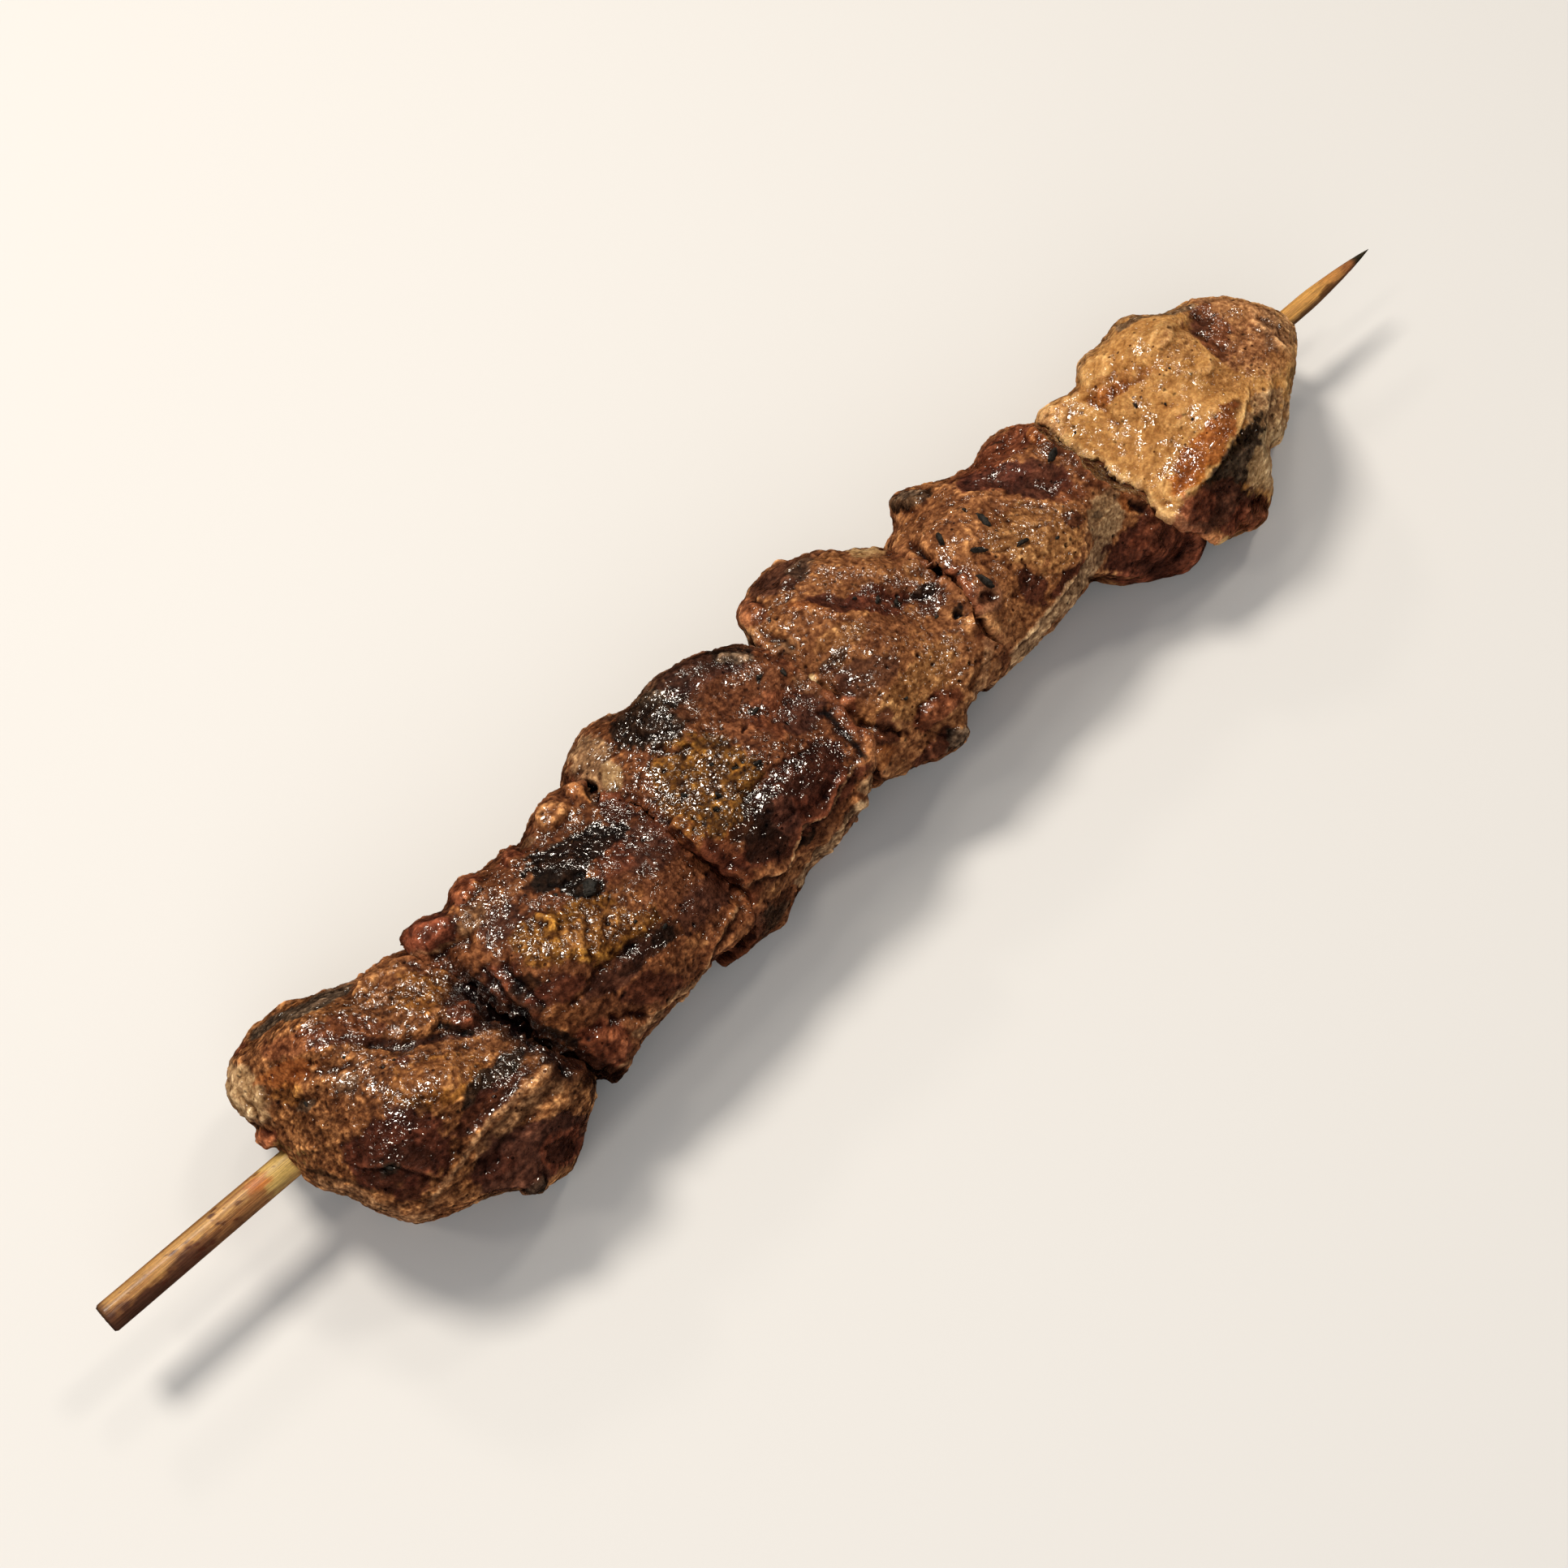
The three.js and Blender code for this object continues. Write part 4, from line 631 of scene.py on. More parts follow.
# ------------------------------------------------------------------ kinds of surface
# Each kind of crust: its darkest and lightest colour (sRGB), how wet it is, and how
# much of each fine relief it has: grains, fibres, crust, how bold its relief is, and
# how mottled it is.
KINDS = dict(
    char=((9, 6, 5), (54, 41, 35), 0.80, 0.5, 0.0, 1.0, 0.8, 0.8),
    glaze=((10, 5, 4), (58, 35, 28), 1.00, 0.1, 0.0, 0.0, 0.3, 0.5),
    # ash: grey ash on the char, also laid where it stands in for the bluish sheen of glossy char and for light on lit
    # top edges: partly painted sheen and highlight
    ash=((34, 27, 23), (140, 117, 100), 0.60, 0.4, 0.2, 0.8, 0.9, 1.0),
    maroon=((30, 11, 8), (102, 53, 40), 0.76, 0.4, 0.2, 0.1, 0.7, 0.6),
    purple=((34, 16, 13), (104, 64, 52), 0.52, 0.4, 0.2, 0.2, 0.6, 0.7),
    brown=((50, 24, 13), (150, 97, 64), 0.52, 0.45, 0.3, 0.1, 0.8, 1.0),
    wine=((38, 16, 12), (118, 62, 46), 0.48, 0.1, 0.0, 0.0, 0.3, 0.8),
    plum=((36, 16, 13), (112, 62, 50), 0.36, 0.2, 0.1, 0.0, 0.4, 0.8),
    rind=((88, 52, 32), (198, 148, 108), 0.32, 0.3, 0.3, 0.0, 0.6, 1.0),
    skin=((60, 31, 18), (146, 94, 66), 0.36, 0.3, 0.2, 0.0, 0.55, 1.2),
    strand=((50, 26, 13), (164, 112, 72), 0.54, 0.15, 0.9, 0.1, 0.7, 1.2),
    amber=((92, 42, 12), (176, 106, 46), 0.66, 0.4, 0.1, 0.0, 0.7, 0.7),
    redbrown=((50, 19, 11), (144, 82, 58), 0.58, 0.45, 0.3, 0.1, 0.8, 0.7),
    gold=((60, 31, 10), (178, 124, 62), 0.62, 0.6, 0.0, 0.0, 0.9, 1.1),
    bronze=((50, 26, 7), (168, 118, 54), 0.60, 0.55, 0.1, 0.0, 0.9, 1.2),
    olive=((34, 18, 6), (142, 96, 40), 0.47, 0.6, 0.1, 0.0, 0.9, 1.3),
    sand=((84, 50, 26), (200, 152, 104), 0.60, 0.7, 0.0, 0.0, 0.9, 0.9),
    tan=((76, 42, 24), (182, 130, 88), 0.45, 0.7, 0.1, 0.0, 0.85, 0.9),
    fat=((150, 102, 54), (222, 178, 122), 0.40, 0.25, 0.0, 0.0, 0.55, 0.45),
    cream=((150, 114, 76), (230, 206, 168), 0.45, 0.3, 0.1, 0.0, 0.5, 0.5),
    gray=((70, 48, 34), (174, 138, 106), 0.50, 0.15, 0.6, 0.0, 0.9, 0.9),
    buff=((82, 60, 45), (182, 150, 119), 0.34, 0.5, 0.6, 0.1, 0.8, 0.9),
    pale=((68, 44, 30), (168, 128, 96), 0.46, 0.4, 0.7, 0.0, 0.8, 0.9),
    orange=((94, 46, 20), (182, 118, 68), 0.66, 0.5, 0.1, 0.0, 0.8, 0.6),
    # dark: matte dark char, and painted shade where it is laid in pits, grooves and along the joins
    dark=((10, 5, 3), (44, 27, 19), 0.24, 0.3, 0.2, 0.2, 0.8, 0.8),
)
NAMES = list(KINDS)


def linear(rgb):
    c = np.array(rgb, float) / 255
    return np.where(c <= 0.04045, c / 12.92, ((c + 0.055) / 1.055) ** 2.4)


LOW = np.array([linear(KINDS[k][0]) for k in NAMES])
HIGH = np.array([linear(KINDS[k][1]) for k in NAMES])
WETS = np.array([KINDS[k][2] for k in NAMES])
GRAINS = np.array([KINDS[k][3] for k in NAMES])
FIBRES = np.array([KINDS[k][4] for k in NAMES])
CRUSTS = np.array([KINDS[k][5] for k in NAMES])
BOLD = np.array([KINDS[k][6] for k in NAMES])
MOTTLE = np.array([KINDS[k][7] for k in NAMES])


def over(weights, kind, w):
    weights *= (1 - w)[:, None]
    weights[:, NAMES.index(kind)] += w


def ellipse(px, py, mark):
    """0 at the middle of the mark, 1 at its rim."""
    x, y, rx, ry, turn = mark[:5]
    a = math.radians(turn)
    dx, dy = px - x, py - y
    return np.hypot((dx * math.cos(a) + dy * math.sin(a)) / rx, (dy * math.cos(a) - dx * math.sin(a)) / ry)


def line(px, py, points):
    """Distance to a broken line, which side of it (1 is left), and how far along it."""
    best = np.full(len(px), 1e9)
    side = np.zeros(len(px))
    along = np.zeros(len(px))
    pts = np.array(points, float).reshape(-1, 2)
    total = np.sum(np.hypot(*np.diff(pts, axis=0).T))
    gone = 0.0
    for a, b in zip(pts[:-1], pts[1:]):
        ab = b - a
        size = math.hypot(*ab)
        t = np.clip(((px - a[0]) * ab[0] + (py - a[1]) * ab[1]) / size ** 2, 0, 1)
        dx, dy = px - a[0] - t * ab[0], py - a[1] - t * ab[1]
        d = np.hypot(dx, dy)
        near = d < best
        cross = ab[0] * (py - a[1]) - ab[1] * (px - a[0])
        side = np.where(near, np.sign(cross), side)
        along = np.where(near, (gone + t * size) / total, along)
        best = np.where(near, d, best)
        gone += size
    return best, side, along


def warped(px, py, p, seed):
    """Marks have uneven rims."""
    wx = 0.9 * noise(p, 5.0, seed) + 0.45 * noise(p, 1.9, seed + 1) + 0.2 * noise(p, 0.8, seed + 2)
    wy = 0.9 * noise(p, 5.0, seed + 3) + 0.45 * noise(p, 1.9, seed + 4) + 0.2 * noise(p, 0.8, seed + 5)
    return px + wx, py + wy


def surface_kinds(i, p, n, convex):
    """How much of each kind there is at each point."""
    c = CHUNKS[i]
    s = 100 * (i + 1)
    w = np.zeros((len(p), len(NAMES)))
    w[:, NAMES.index(c["base"])] = 1
    seared = ramp(np.abs(n[:, 2]), 0.35, 0.8)
    broad = noise(p, 13, s) + 0.5 * noise(p, 5, s + 1)
    other = noise(p, 10, s + 2) + 0.5 * noise(p, 4, s + 3)
    third = noise(p, 8, s + 4) + 0.5 * noise(p, 3, s + 5)
    over(w, "gray", (1 - seared) * ramp(broad, -0.35, 0.25) * 0.75)
    over(w, "redbrown", ramp(-broad, 0.05, 0.5) * 0.7)
    over(w, "gold" if i < 5 else "fat", seared * ramp(other, 0.05, 0.45) * 0.8)
    over(w, "purple", ramp(-other, 0.1, 0.5) * 0.7)
    over(w, "maroon", ramp(third, 0.3, 0.65) * 0.8)
    over(w, "char", ramp(convex + 0.5 * third + 0.3 * broad, 0.55, 1.0) * 0.8)
    px, py = plan(p)
    to = PEAK - p
    to /= np.linalg.norm(to, axis=1)[:, None]
    towards = (to * n).sum(1)
    facing = ramp(towards, -0.12, 0.1)
    qx, qy = warped(px, py, p, s + 20)
    over(w, c["top"], facing * 0.85)
    ragged = noise(p, 1.4, s + 30) + 0.6 * noise(p, 0.7, s + 31)
    for k, mark in enumerate(c["marks"]):
        kind, strength, edge = mark[0], mark[1], mark[2]
        if kind[0] == "~":
            kind = kind[1:]
            d = line(qx * 0.35 + px * 0.65, qy * 0.35 + py * 0.65, mark[4:])[0]
            t = 1 - ramp(d, mark[3] * (1 - edge), mark[3] * (1 + edge))
        else:
            t = 1 - ramp(ellipse(qx, qy, mark[3:]), 1 - edge, 1 + edge)
        t = ramp(t + 0.5 * ragged * t * (1 - t) * 4, 0.3, 0.7)
        over(w, kind, t * strength * facing)
    near = np.full(len(p), 9.0)
    if i < len(JOINS):
        near = np.minimum(near, -join_field(JOINS[i], p) - join_wave(i, p))
    if i > 0:
        near = np.minimum(near, join_field(JOINS[i - 1], p) + join_wave(i - 1, p))
    # painted shade between the chunks: a darker maroon band right at each join, and a redder strip beside it on the
    # shown side
    over(w, "maroon", (1 - ramp(near + 0.4 * ragged, 0.1, 0.9)) * 0.6)
    over(w, "redbrown", (1 - ramp(near + 0.6 * ragged, 0.4, 2.2)) * facing * (0.5 if i < 5 else 0.2))
    if i < 2:
        # the first two chunks meet in a deep valley, laid with a dark wet glaze: painted shade in the valley
        gap = np.abs(join_field(JOINS[0], p) + join_wave(0, p))
        over(w, "glaze", (1 - ramp(gap + 0.7 * ragged, 0.8, 2.8)) * ramp(6 - py, -2, 3) * 0.75)
    return w, ramp(towards, -0.5, -0.1), towards, px, py
# ------------------------------------------------------------------ relief
def grain_frame(c):
    a, e = math.radians(c["grain"][0]), math.radians(c["grain"][1])
    x = np.array([math.cos(a) * math.cos(e), math.sin(a) * math.cos(e), math.sin(e)])
    y = np.cross([0, 0, 1.0], x)
    y /= np.linalg.norm(y)
    return np.stack([x, y, np.cross(x, y)], 1)


def ridged(p, size, seed):
    return 1 - 2 * np.abs(noise(p, size, seed))


def shaped(i, px, py, p, facing):
    """The folds, ledges, lumps and pits that belong to this chunk's shown side."""
    d = np.zeros(len(px))
    s = 100 * (i + 1)
    jx = 0.6 * noise(p, 3.6, s + 40) + 0.3 * noise(p, 1.6, s + 41)
    jy = 0.6 * noise(p, 3.6, s + 42) + 0.3 * noise(p, 1.6, s + 43)
    swell = 1 + 0.6 * noise(p, 3.0, s + 44)
    qx, qy = px + jx, py + jy
    for f in CHUNKS[i]["forms"]:
        kind, height = f[0], f[1]
        if kind == "lump":
            r = ellipse(qx, qy, f[2:])
            d += height * np.exp(-2.2 * r * r)
        elif kind == "dome":
            r = ellipse(qx, qy, f[2:])
            d += height * (1 - ramp(r, 0.45, 1.05))
        elif kind == "fold":
            dist, side, along = line(qx, qy, f[3:])
            ends = ramp(along, 0, 0.12) * (1 - ramp(along, 0.88, 1))
            d += height * np.exp(-(dist / (f[2] * swell)) ** 2) * ends * swell
        elif kind == "step":
            # raised on the left of the line, falling off sharply to the right of it
            dist, side, along = line(qx, qy, f[3:])
            ends = ramp(along, 0, 0.15) * (1 - ramp(along, 0.85, 1))
            left = np.exp(-dist / f[2]) * (side > 0)
            soft = ramp(dist * side, -0.22, 0.22)
            d += height * ends * np.where(dist < 0.22, soft * np.exp(-0.22 / f[2]), left)
    return d * facing


def displace(i, v, tris, mean):
    c = CHUNKS[i]
    s = 100 * (i + 1)
    n = normals_of(v, tris)
    m = v
    for _ in range(24):
        m = mean(m)
    convex = -((m - v) * n).sum(1) / 0.35
    kinds, facing, towards, px, py = surface_kinds(i, v, n, convex)
    grains, fibres, crusts = kinds @ GRAINS, kinds @ FIBRES, kinds @ CRUSTS
    frame = grain_frame(c)

    # folds and lumps of the meat itself
    q = v + 1.2 * np.stack([noise(v, 7, s + 50 + k) for k in range(3)], 1)
    bold = kinds @ BOLD
    big = 0.40 * noise(q, 9, s + 53) + 0.12 * ridged(q, 6.0, s + 54) - 0.05
    local = q @ frame
    big += (0.06 + 0.14 * fibres) * ridged(local, (16, 3.0, 3.4), s + 55)
    big += bold * (0.07 * ridged(q, 2.8, s + 56) + 0.10 * noise(q, 3.4, s + 57))
    split_here = ramp(noise(v, 9, s + 58), 0.0, 0.4)
    crack = np.maximum(1 - np.abs(noise(local, (12, 3.2, 3.2), s + 59)) / 0.09, 0) * split_here * bold * (1 - 0.7 * crusts)
    big -= 0.18 * crack
    form = shaped(i, px, py, v, facing)
    rim = ramp(convex, 0.25, 0.9)
    outline = np.exp(-(towards / 0.12) ** 2) * ramp(v[:, 2], 9, 14)
    rim = np.maximum(0.6 * rim * (1 - 0.7 * fibres), outline)
    big += rim * (0.26 * ridged(q, 2.6, s + 90) + 0.24 * noise(q, 1.5, s + 91))
    v1 = v + n * (c["lumpy"] * big + form + lapping(i, v, py))[:, None]
    n1 = normals_of(v1, tris)

    # fibres, grains, crust and pits
    q = v + 0.35 * np.stack([noise(v, 2.4, s + 60 + k) for k in range(3)], 1)
    local = q @ frame
    strand = 0.6 * ridged(local, (8, 1.15, 1.25), s + 63) + 0.4 * ridged(local, (4, 0.7, 0.75), s + 64)
    worm = ridged(q, 1.1, s + 65)
    d1, d2, which = cells(q, 0.82, s + 66)
    dome = 1 - np.minimum(d1 / 0.75, 1) ** 2
    grainy = ramp(noise(v, 3.5, s + 67), -0.5, 0.3)
    grain = (0.5 * dome + 0.5 * worm) * (0.35 + 0.65 * grainy)
    crust = 0.5 * ridged(q, 0.95, s + 68) + 0.5 * noise(q, 1.9, s + 69)
    p1, _, lot = cells(v, 2.3, s + 70)
    pit = (1 - ramp(p1, 0.08, 0.20)) * (lot > 0.75)
    fine = bold * (0.17 * fibres * strand + 0.34 * grains * grain + 0.28 * crusts * crust
                   - 0.45 * pit * (1 - crusts) + 0.14 * noise(v, 0.7, s + 71))
    fine *= c["rough"]
    v2 = v1 + n1 * fine[:, None]

    # up against the neighbours but clear of them, and flat where it rests
    ox, oy = px - c["centre"][0], py - c["centre"][1]
    inner = ramp(radius_at(c["radii"], np.arctan2(oy, ox) / (2 * math.pi)) - np.hypot(ox, oy), 1.0, 3.0)
    for k, sign in ((i, 1), (i - 1, -1)) * 2:
        if 0 <= k < len(JOINS):
            x0, a, b = JOINS[k]
            nj = sign * np.array([1, -a, -b]) / math.sqrt(1 + a * a + b * b)
            f = sign * (join_field(JOINS[k], v2) + join_wave(k, v2)) + CLEAR[k]
            free = spur_free(i, v2) if sign > 0 and c["spurs"] else 1.0
            hold = (1 - ramp(-f, 0.3, 0.9)) * inner
            v2 = v2 - (np.maximum(f, 0) + np.minimum(f, 0) * hold)[:, None] * nj * np.reshape(free, (-1, 1))
    # a spur and the neighbour that it reaches past don't swell into each other
    for k, other in ((i, i + 1), (i - 1, i - 1)):
        if k >= 0 and CHUNKS[k]["spurs"]:
            room = ramp(chunk_field(other, v), 0.4, 2.2)
            for spur in CHUNKS[k]["spurs"]:
                swell = np.maximum(((v2 - v) * n).sum(1), 0) * (1 - room) * (1 - ramp(capsule(v, spur), 4.0, 8.0))
                v2 = v2 - n * swell[:, None]
    v2[:, 2] = np.maximum(v2[:, 2], 0)

    # height against the neighbourhood, for colour
    n2 = normals_of(v2, tris)
    m = v2
    for _ in range(6):
        m = mean(m)
    cavity = -((m - v2) * n2).sum(1)
    m2 = m
    for _ in range(30):
        m2 = mean(m2)
    hollow = -((m2 - m) * n2).sum(1)
    return v2, dict(kinds=kinds, cavity=cavity, hollow=hollow, convex=convex, pit=pit, crack=crack, strand=strand, grain=grain, towards=towards, px=px, py=py, normal=n2)


def lapping(i, p, py):
    """How much each of two neighbours swells or sinks where they meet."""
    d = np.zeros(len(p))
    for k, sign in ((i, 1), (i - 1, -1)):
        if 0 <= k < len(JOINS):
            left, right, reach, top = LAPS[k]
            f = sign * (join_field(JOINS[k], p) + join_wave(k, p))
            d += (left if sign > 0 else right) * np.maximum(1 + f / reach, 0) ** 2 * ramp(top - py, -3, 3)
    return d


# per join: height of the left piece's rim, of the right one's, how far back it reaches, and up to which y
LAPS = [(-0.75, -0.65, 2.8, 5.0), (0.25, -0.3, 2.0, 99), (-0.2, -1.2, 2.6, 3.0), (0.25, -0.35, 2.0, 99), (0.1, -0.15, 2.0, 99)]
CLEAR = [0.02, 0.02, 0.02, 0.02, 0.02]
DEPTH = [1.06, 0.97, 1.0, 1.0, 1.08, 1.0]


def spur_free(i, p):
    """0 on a spur that reaches past the join, 1 elsewhere."""
    out = np.ones(len(p))
    for spur in CHUNKS[i]["spurs"]:
        out = np.minimum(out, ramp(capsule(p, spur), 0.5, 3.5))
    return out


def colours(i, p, r):
    """Colour and wetness at each point."""
    s = 100 * (i + 1)
    kinds = r["kinds"]
    low, high, wet = kinds @ LOW, kinds @ HIGH, kinds @ WETS
    fibres = kinds @ FIBRES
    t = 0.5 + 0.18 * noise(p, 3.2, s + 80) + 0.22 * noise(p, 1.3, s + 81) + 0.24 * noise(p, 0.62, s + 82)
    # painted light and shade from the relief: lighter on rises and raised fibres, darker in cavities and hollows
    t = t + 2.6 * r["cavity"] + 0.25 * r["hollow"] + 0.16 * fibres * r["strand"]
    # painted shade: darker and plainer where neighbours meet
    seam_shade = np.zeros(len(p))
    for k in (i - 1, i):
        if 0 <= k < len(JOINS):
            seam_shade = np.maximum(seam_shade, np.exp(-((join_field(JOINS[k], p) + join_wave(k, p)) / 1.4) ** 2))
    t = np.clip(t - (0.55 if i < 5 else 0.2) * seam_shade, -0.15, 1.25 - 0.5 * seam_shade * (i < 5))[:, None]
    col = low * (high / low) ** t
    # painted shade: darker and redder in the hollows, which are also wetter; and darker specks sit on the crust
    wet_shaded_hollows = ramp(-r["cavity"], 0.04, 0.2)[:, None]
    col = col * (1 - wet_shaded_hollows * np.array([0.30, 0.42, 0.48]))
    d1, _, lot = cells(p, 1.0, s + 83)
    speck = ((1 - ramp(d1, 0.18, 0.30)) * (lot > 0.84))[:, None]
    col = col * (1 - 0.8 * speck)
    # painted shade in the pits and cracks
    col = col * ((1 - 0.6 * np.clip(r["pit"], 0, 1)) * (1 - 0.25 * r["crack"]))[:, None]
    wet = wet + 0.25 * noise(p, 3.0, s + 84) + 0.15 * noise(p, 1.2, s + 85) + 0.2 * wet_shaded_hollows[:, 0]
    col = col * np.array([1.04, 0.96, 0.80]) * DEPTH[i]
    return np.clip(col, 0.002, 1), np.clip(wet, 0, 1)
# ------------------------------------------------------------------ materials
class Graph:
    """Short calls that add and join shader nodes."""

    def __init__(self, name):
        self.m = bpy.data.materials.new(name)
        self.m.use_nodes = True
        self.t = self.m.node_tree
        self.bsdf = self.t.nodes["Principled BSDF"]

    def node(self, kind, **values):
        n = self.t.nodes.new(kind)
        for k, v in values.items():
            setattr(n, k, v)
        return n

    def put(self, socket, value):
        if hasattr(value, "is_output"):
            self.t.links.new(value, socket)
        else:
            socket.default_value = value

    def math(self, op, a, b=0.0, clamp=False):
        n = self.node("ShaderNodeMath", operation=op, use_clamp=clamp)
        self.put(n.inputs[0], a)
        self.put(n.inputs[1], b)
        return n.outputs[0]

    def mix(self, factor, a, b, blend="MIX"):
        n = self.node("ShaderNodeMix", data_type="RGBA", blend_type=blend)
        self.put(n.inputs[0], factor)
        self.put(n.inputs[6], a)
        self.put(n.inputs[7], b)
        return n.outputs[2]

    def attribute(self, name, out="Fac"):
        n = self.node("ShaderNodeAttribute", attribute_type="GEOMETRY", attribute_name=name)
        return n.outputs[out]

    def place(self, scale=(1, 1, 1), turn=(0, 0, 0)):
        n = self.node("ShaderNodeTexCoord")
        m = self.node("ShaderNodeMapping")
        self.t.links.new(n.outputs["Object"], m.inputs["Vector"])
        m.inputs["Scale"].default_value = scale
        m.inputs["Rotation"].default_value = turn
        return m.outputs[0]

    def noise(self, vector, scale, detail=3.0, rough=0.55, distort=0.0):
        n = self.node("ShaderNodeTexNoise")
        self.t.links.new(vector, n.inputs["Vector"])
        n.inputs["Scale"].default_value = scale
        n.inputs["Detail"].default_value = detail
        n.inputs["Roughness"].default_value = rough
        n.inputs["Distortion"].default_value = distort
        return n.outputs["Fac"]

    def worley(self, vector, scale, feature="F1"):
        n = self.node("ShaderNodeTexVoronoi", feature=feature)
        self.t.links.new(vector, n.inputs["Vector"])
        n.inputs["Scale"].default_value = scale
        return n.outputs["Distance"]

    def span(self, value, a, b, c, d, kind="SMOOTHSTEP"):
        n = self.node("ShaderNodeMapRange", interpolation_type=kind)
        self.t.links.new(value, n.inputs["Value"])
        for k, x in zip(("From Min", "From Max", "To Min", "To Max"), (a, b, c, d)):
            n.inputs[k].default_value = x
        return n.outputs["Result"]

    def bump(self, height, distance, strength=1.0, normal=None):
        n = self.node("ShaderNodeBump")
        n.inputs["Strength"].default_value = strength
        n.inputs["Distance"].default_value = distance
        self.t.links.new(height, n.inputs["Height"])
        if normal is not None:
            self.t.links.new(normal, n.inputs["Normal"])
        return n.outputs["Normal"]


def meat_material(name, grain, fatty):
    g = Graph(name)
    at = g.place()
    along = g.place(scale=(0.16, 1.0, 1.0), turn=(0, 0, -math.radians(grain)))
    tone = g.attribute("tone", "Color")
    wet = g.attribute("wet")
    fibre = g.attribute("fibre")
    smooth = g.attribute("smooth")
    fine = g.noise(at, 2600, 3, 0.6)
    mid = g.noise(at, 1300, 3, 0.6, 0.4)
    streak = g.noise(along, 2200, 3, 0.6)
    # mottled within each patch, streaked along the fibres, with small black specks
    mottle = g.attribute("mottle")
    shade = g.math("MULTIPLY", g.span(fine, 0.3, 0.7, 0.72, 1.28), g.span(mid, 0.32, 0.68, 0.62, 1.38))
    shade = g.math("ADD", 1.0, g.math("MULTIPLY", mottle, g.math("SUBTRACT", shade, 1.0)))
    streaks = g.span(streak, 0.3, 0.7, 0.60, 1.40)
    streaked = g.math("ADD", 1.0, g.math("MULTIPLY", fibre, g.math("SUBTRACT", streaks, 1.0)))
    shade = g.math("MULTIPLY", shade, streaked)
    few = g.span(g.noise(at, 260, 1, 0.5), 0.46, 0.56, 0.0, 0.14)
    speck = g.math("GREATER_THAN", g.math("SUBTRACT", g.math("MULTIPLY", fine, few), g.math("MULTIPLY", g.worley(at, 640), 0.5)), 0.0)
    shade = g.math("MULTIPLY", shade, g.math("SUBTRACT", 1.0, g.math("MULTIPLY", speck, 0.8)))
    # darker spots are also redder
    tint = g.node("ShaderNodeCombineXYZ")
    for k, power in enumerate((0.9, 1.1, 1.2)):
        g.put(tint.inputs[k], g.math("POWER", shade, power))
    colour = g.node("ShaderNodeVectorMath", operation="MULTIPLY")
    g.t.links.new(tone, colour.inputs[0])
    g.t.links.new(tint.outputs[0], colour.inputs[1])
    g.t.links.new(colour.outputs[0], g.bsdf.inputs["Base Color"])
    # a broken film of meat juices and fat, in spots within wetter patches
    spots = g.math("MULTIPLY", g.math("SUBTRACT", g.noise(at, 1100, 2, 0.5), 0.5), 1.1)
    patches = g.math("MULTIPLY", g.math("SUBTRACT", g.noise(at, 380, 1, 0.5), 0.5), 1.3)
    film = g.math("ADD", wet, g.math("ADD", spots, patches), clamp=True)
    g.t.links.new(g.span(film, 0.1, 0.8, 0.66, 0.42), g.bsdf.inputs["Roughness"])
    g.t.links.new(g.span(film, 0.38, 0.72, 0.0, 1.0), g.bsdf.inputs["Coat Weight"])
    g.bsdf.inputs["Coat Roughness"].default_value = 0.06
    g.bsdf.inputs["Coat IOR"].default_value = 2.0
    g.bsdf.inputs["IOR"].default_value = 1.4
    g.bsdf.inputs["Specular IOR Level"].default_value = 0.12
    g.bsdf.inputs["Subsurface Weight"].default_value = 0.12 if fatty else 0.0
    g.bsdf.inputs["Subsurface Radius"].default_value = (1.0, 0.4, 0.2)
    g.bsdf.inputs["Subsurface Scale"].default_value = 0.0015
    # fine relief: wrinkled film, grains under half a millimetre, fibres
    worm = g.math("ABSOLUTE", g.math("SUBTRACT", g.noise(at, 1500, 1, 0.5, 0.6), 0.5))
    h = g.math("ADD", g.math("MULTIPLY", worm, -1.4), g.math("MULTIPLY", fine, 0.5))
    h = g.math("ADD", h, g.math("MULTIPLY", g.worley(at, 1900), -0.5))
    h = g.math("ADD", h, g.math("MULTIPLY", g.math("MULTIPLY", fibre, streak), 0.9))
    g.t.links.new(g.bump(h, 0.00022, 1.0), g.bsdf.inputs["Normal"])

    def wrinkles(scale):
        return g.math("ABSOLUTE", g.math("SUBTRACT", g.noise(at, scale, 0, 0.5, 0.8), 0.5))

    # the film is smooth and wavy where it lies thick, and follows the grains elsewhere
    thick = g.math("MULTIPLY", wrinkles(940), g.math("MULTIPLY", smooth, -1.6))
    thin = g.math("MULTIPLY", wrinkles(1180), g.math("MULTIPLY", g.math("SUBTRACT", 1.0, smooth), -1.7))
    g.t.links.new(g.bump(g.math("ADD", thick, thin), 0.00025, 1.0), g.bsdf.inputs["Coat Normal"])
    return g.m


def flat_attribute(me, name, values):
    a = me.attributes.new(name, "FLOAT", "POINT")
    a.data.foreach_set("value", values.astype(np.float32))


def colour_attribute(me, name, rgb):
    a = me.attributes.new(name, "FLOAT_COLOR", "POINT")
    rgba = np.concatenate([rgb, np.ones((len(rgb), 1))], 1).astype(np.float32)
    a.data.foreach_set("color", rgba.ravel())


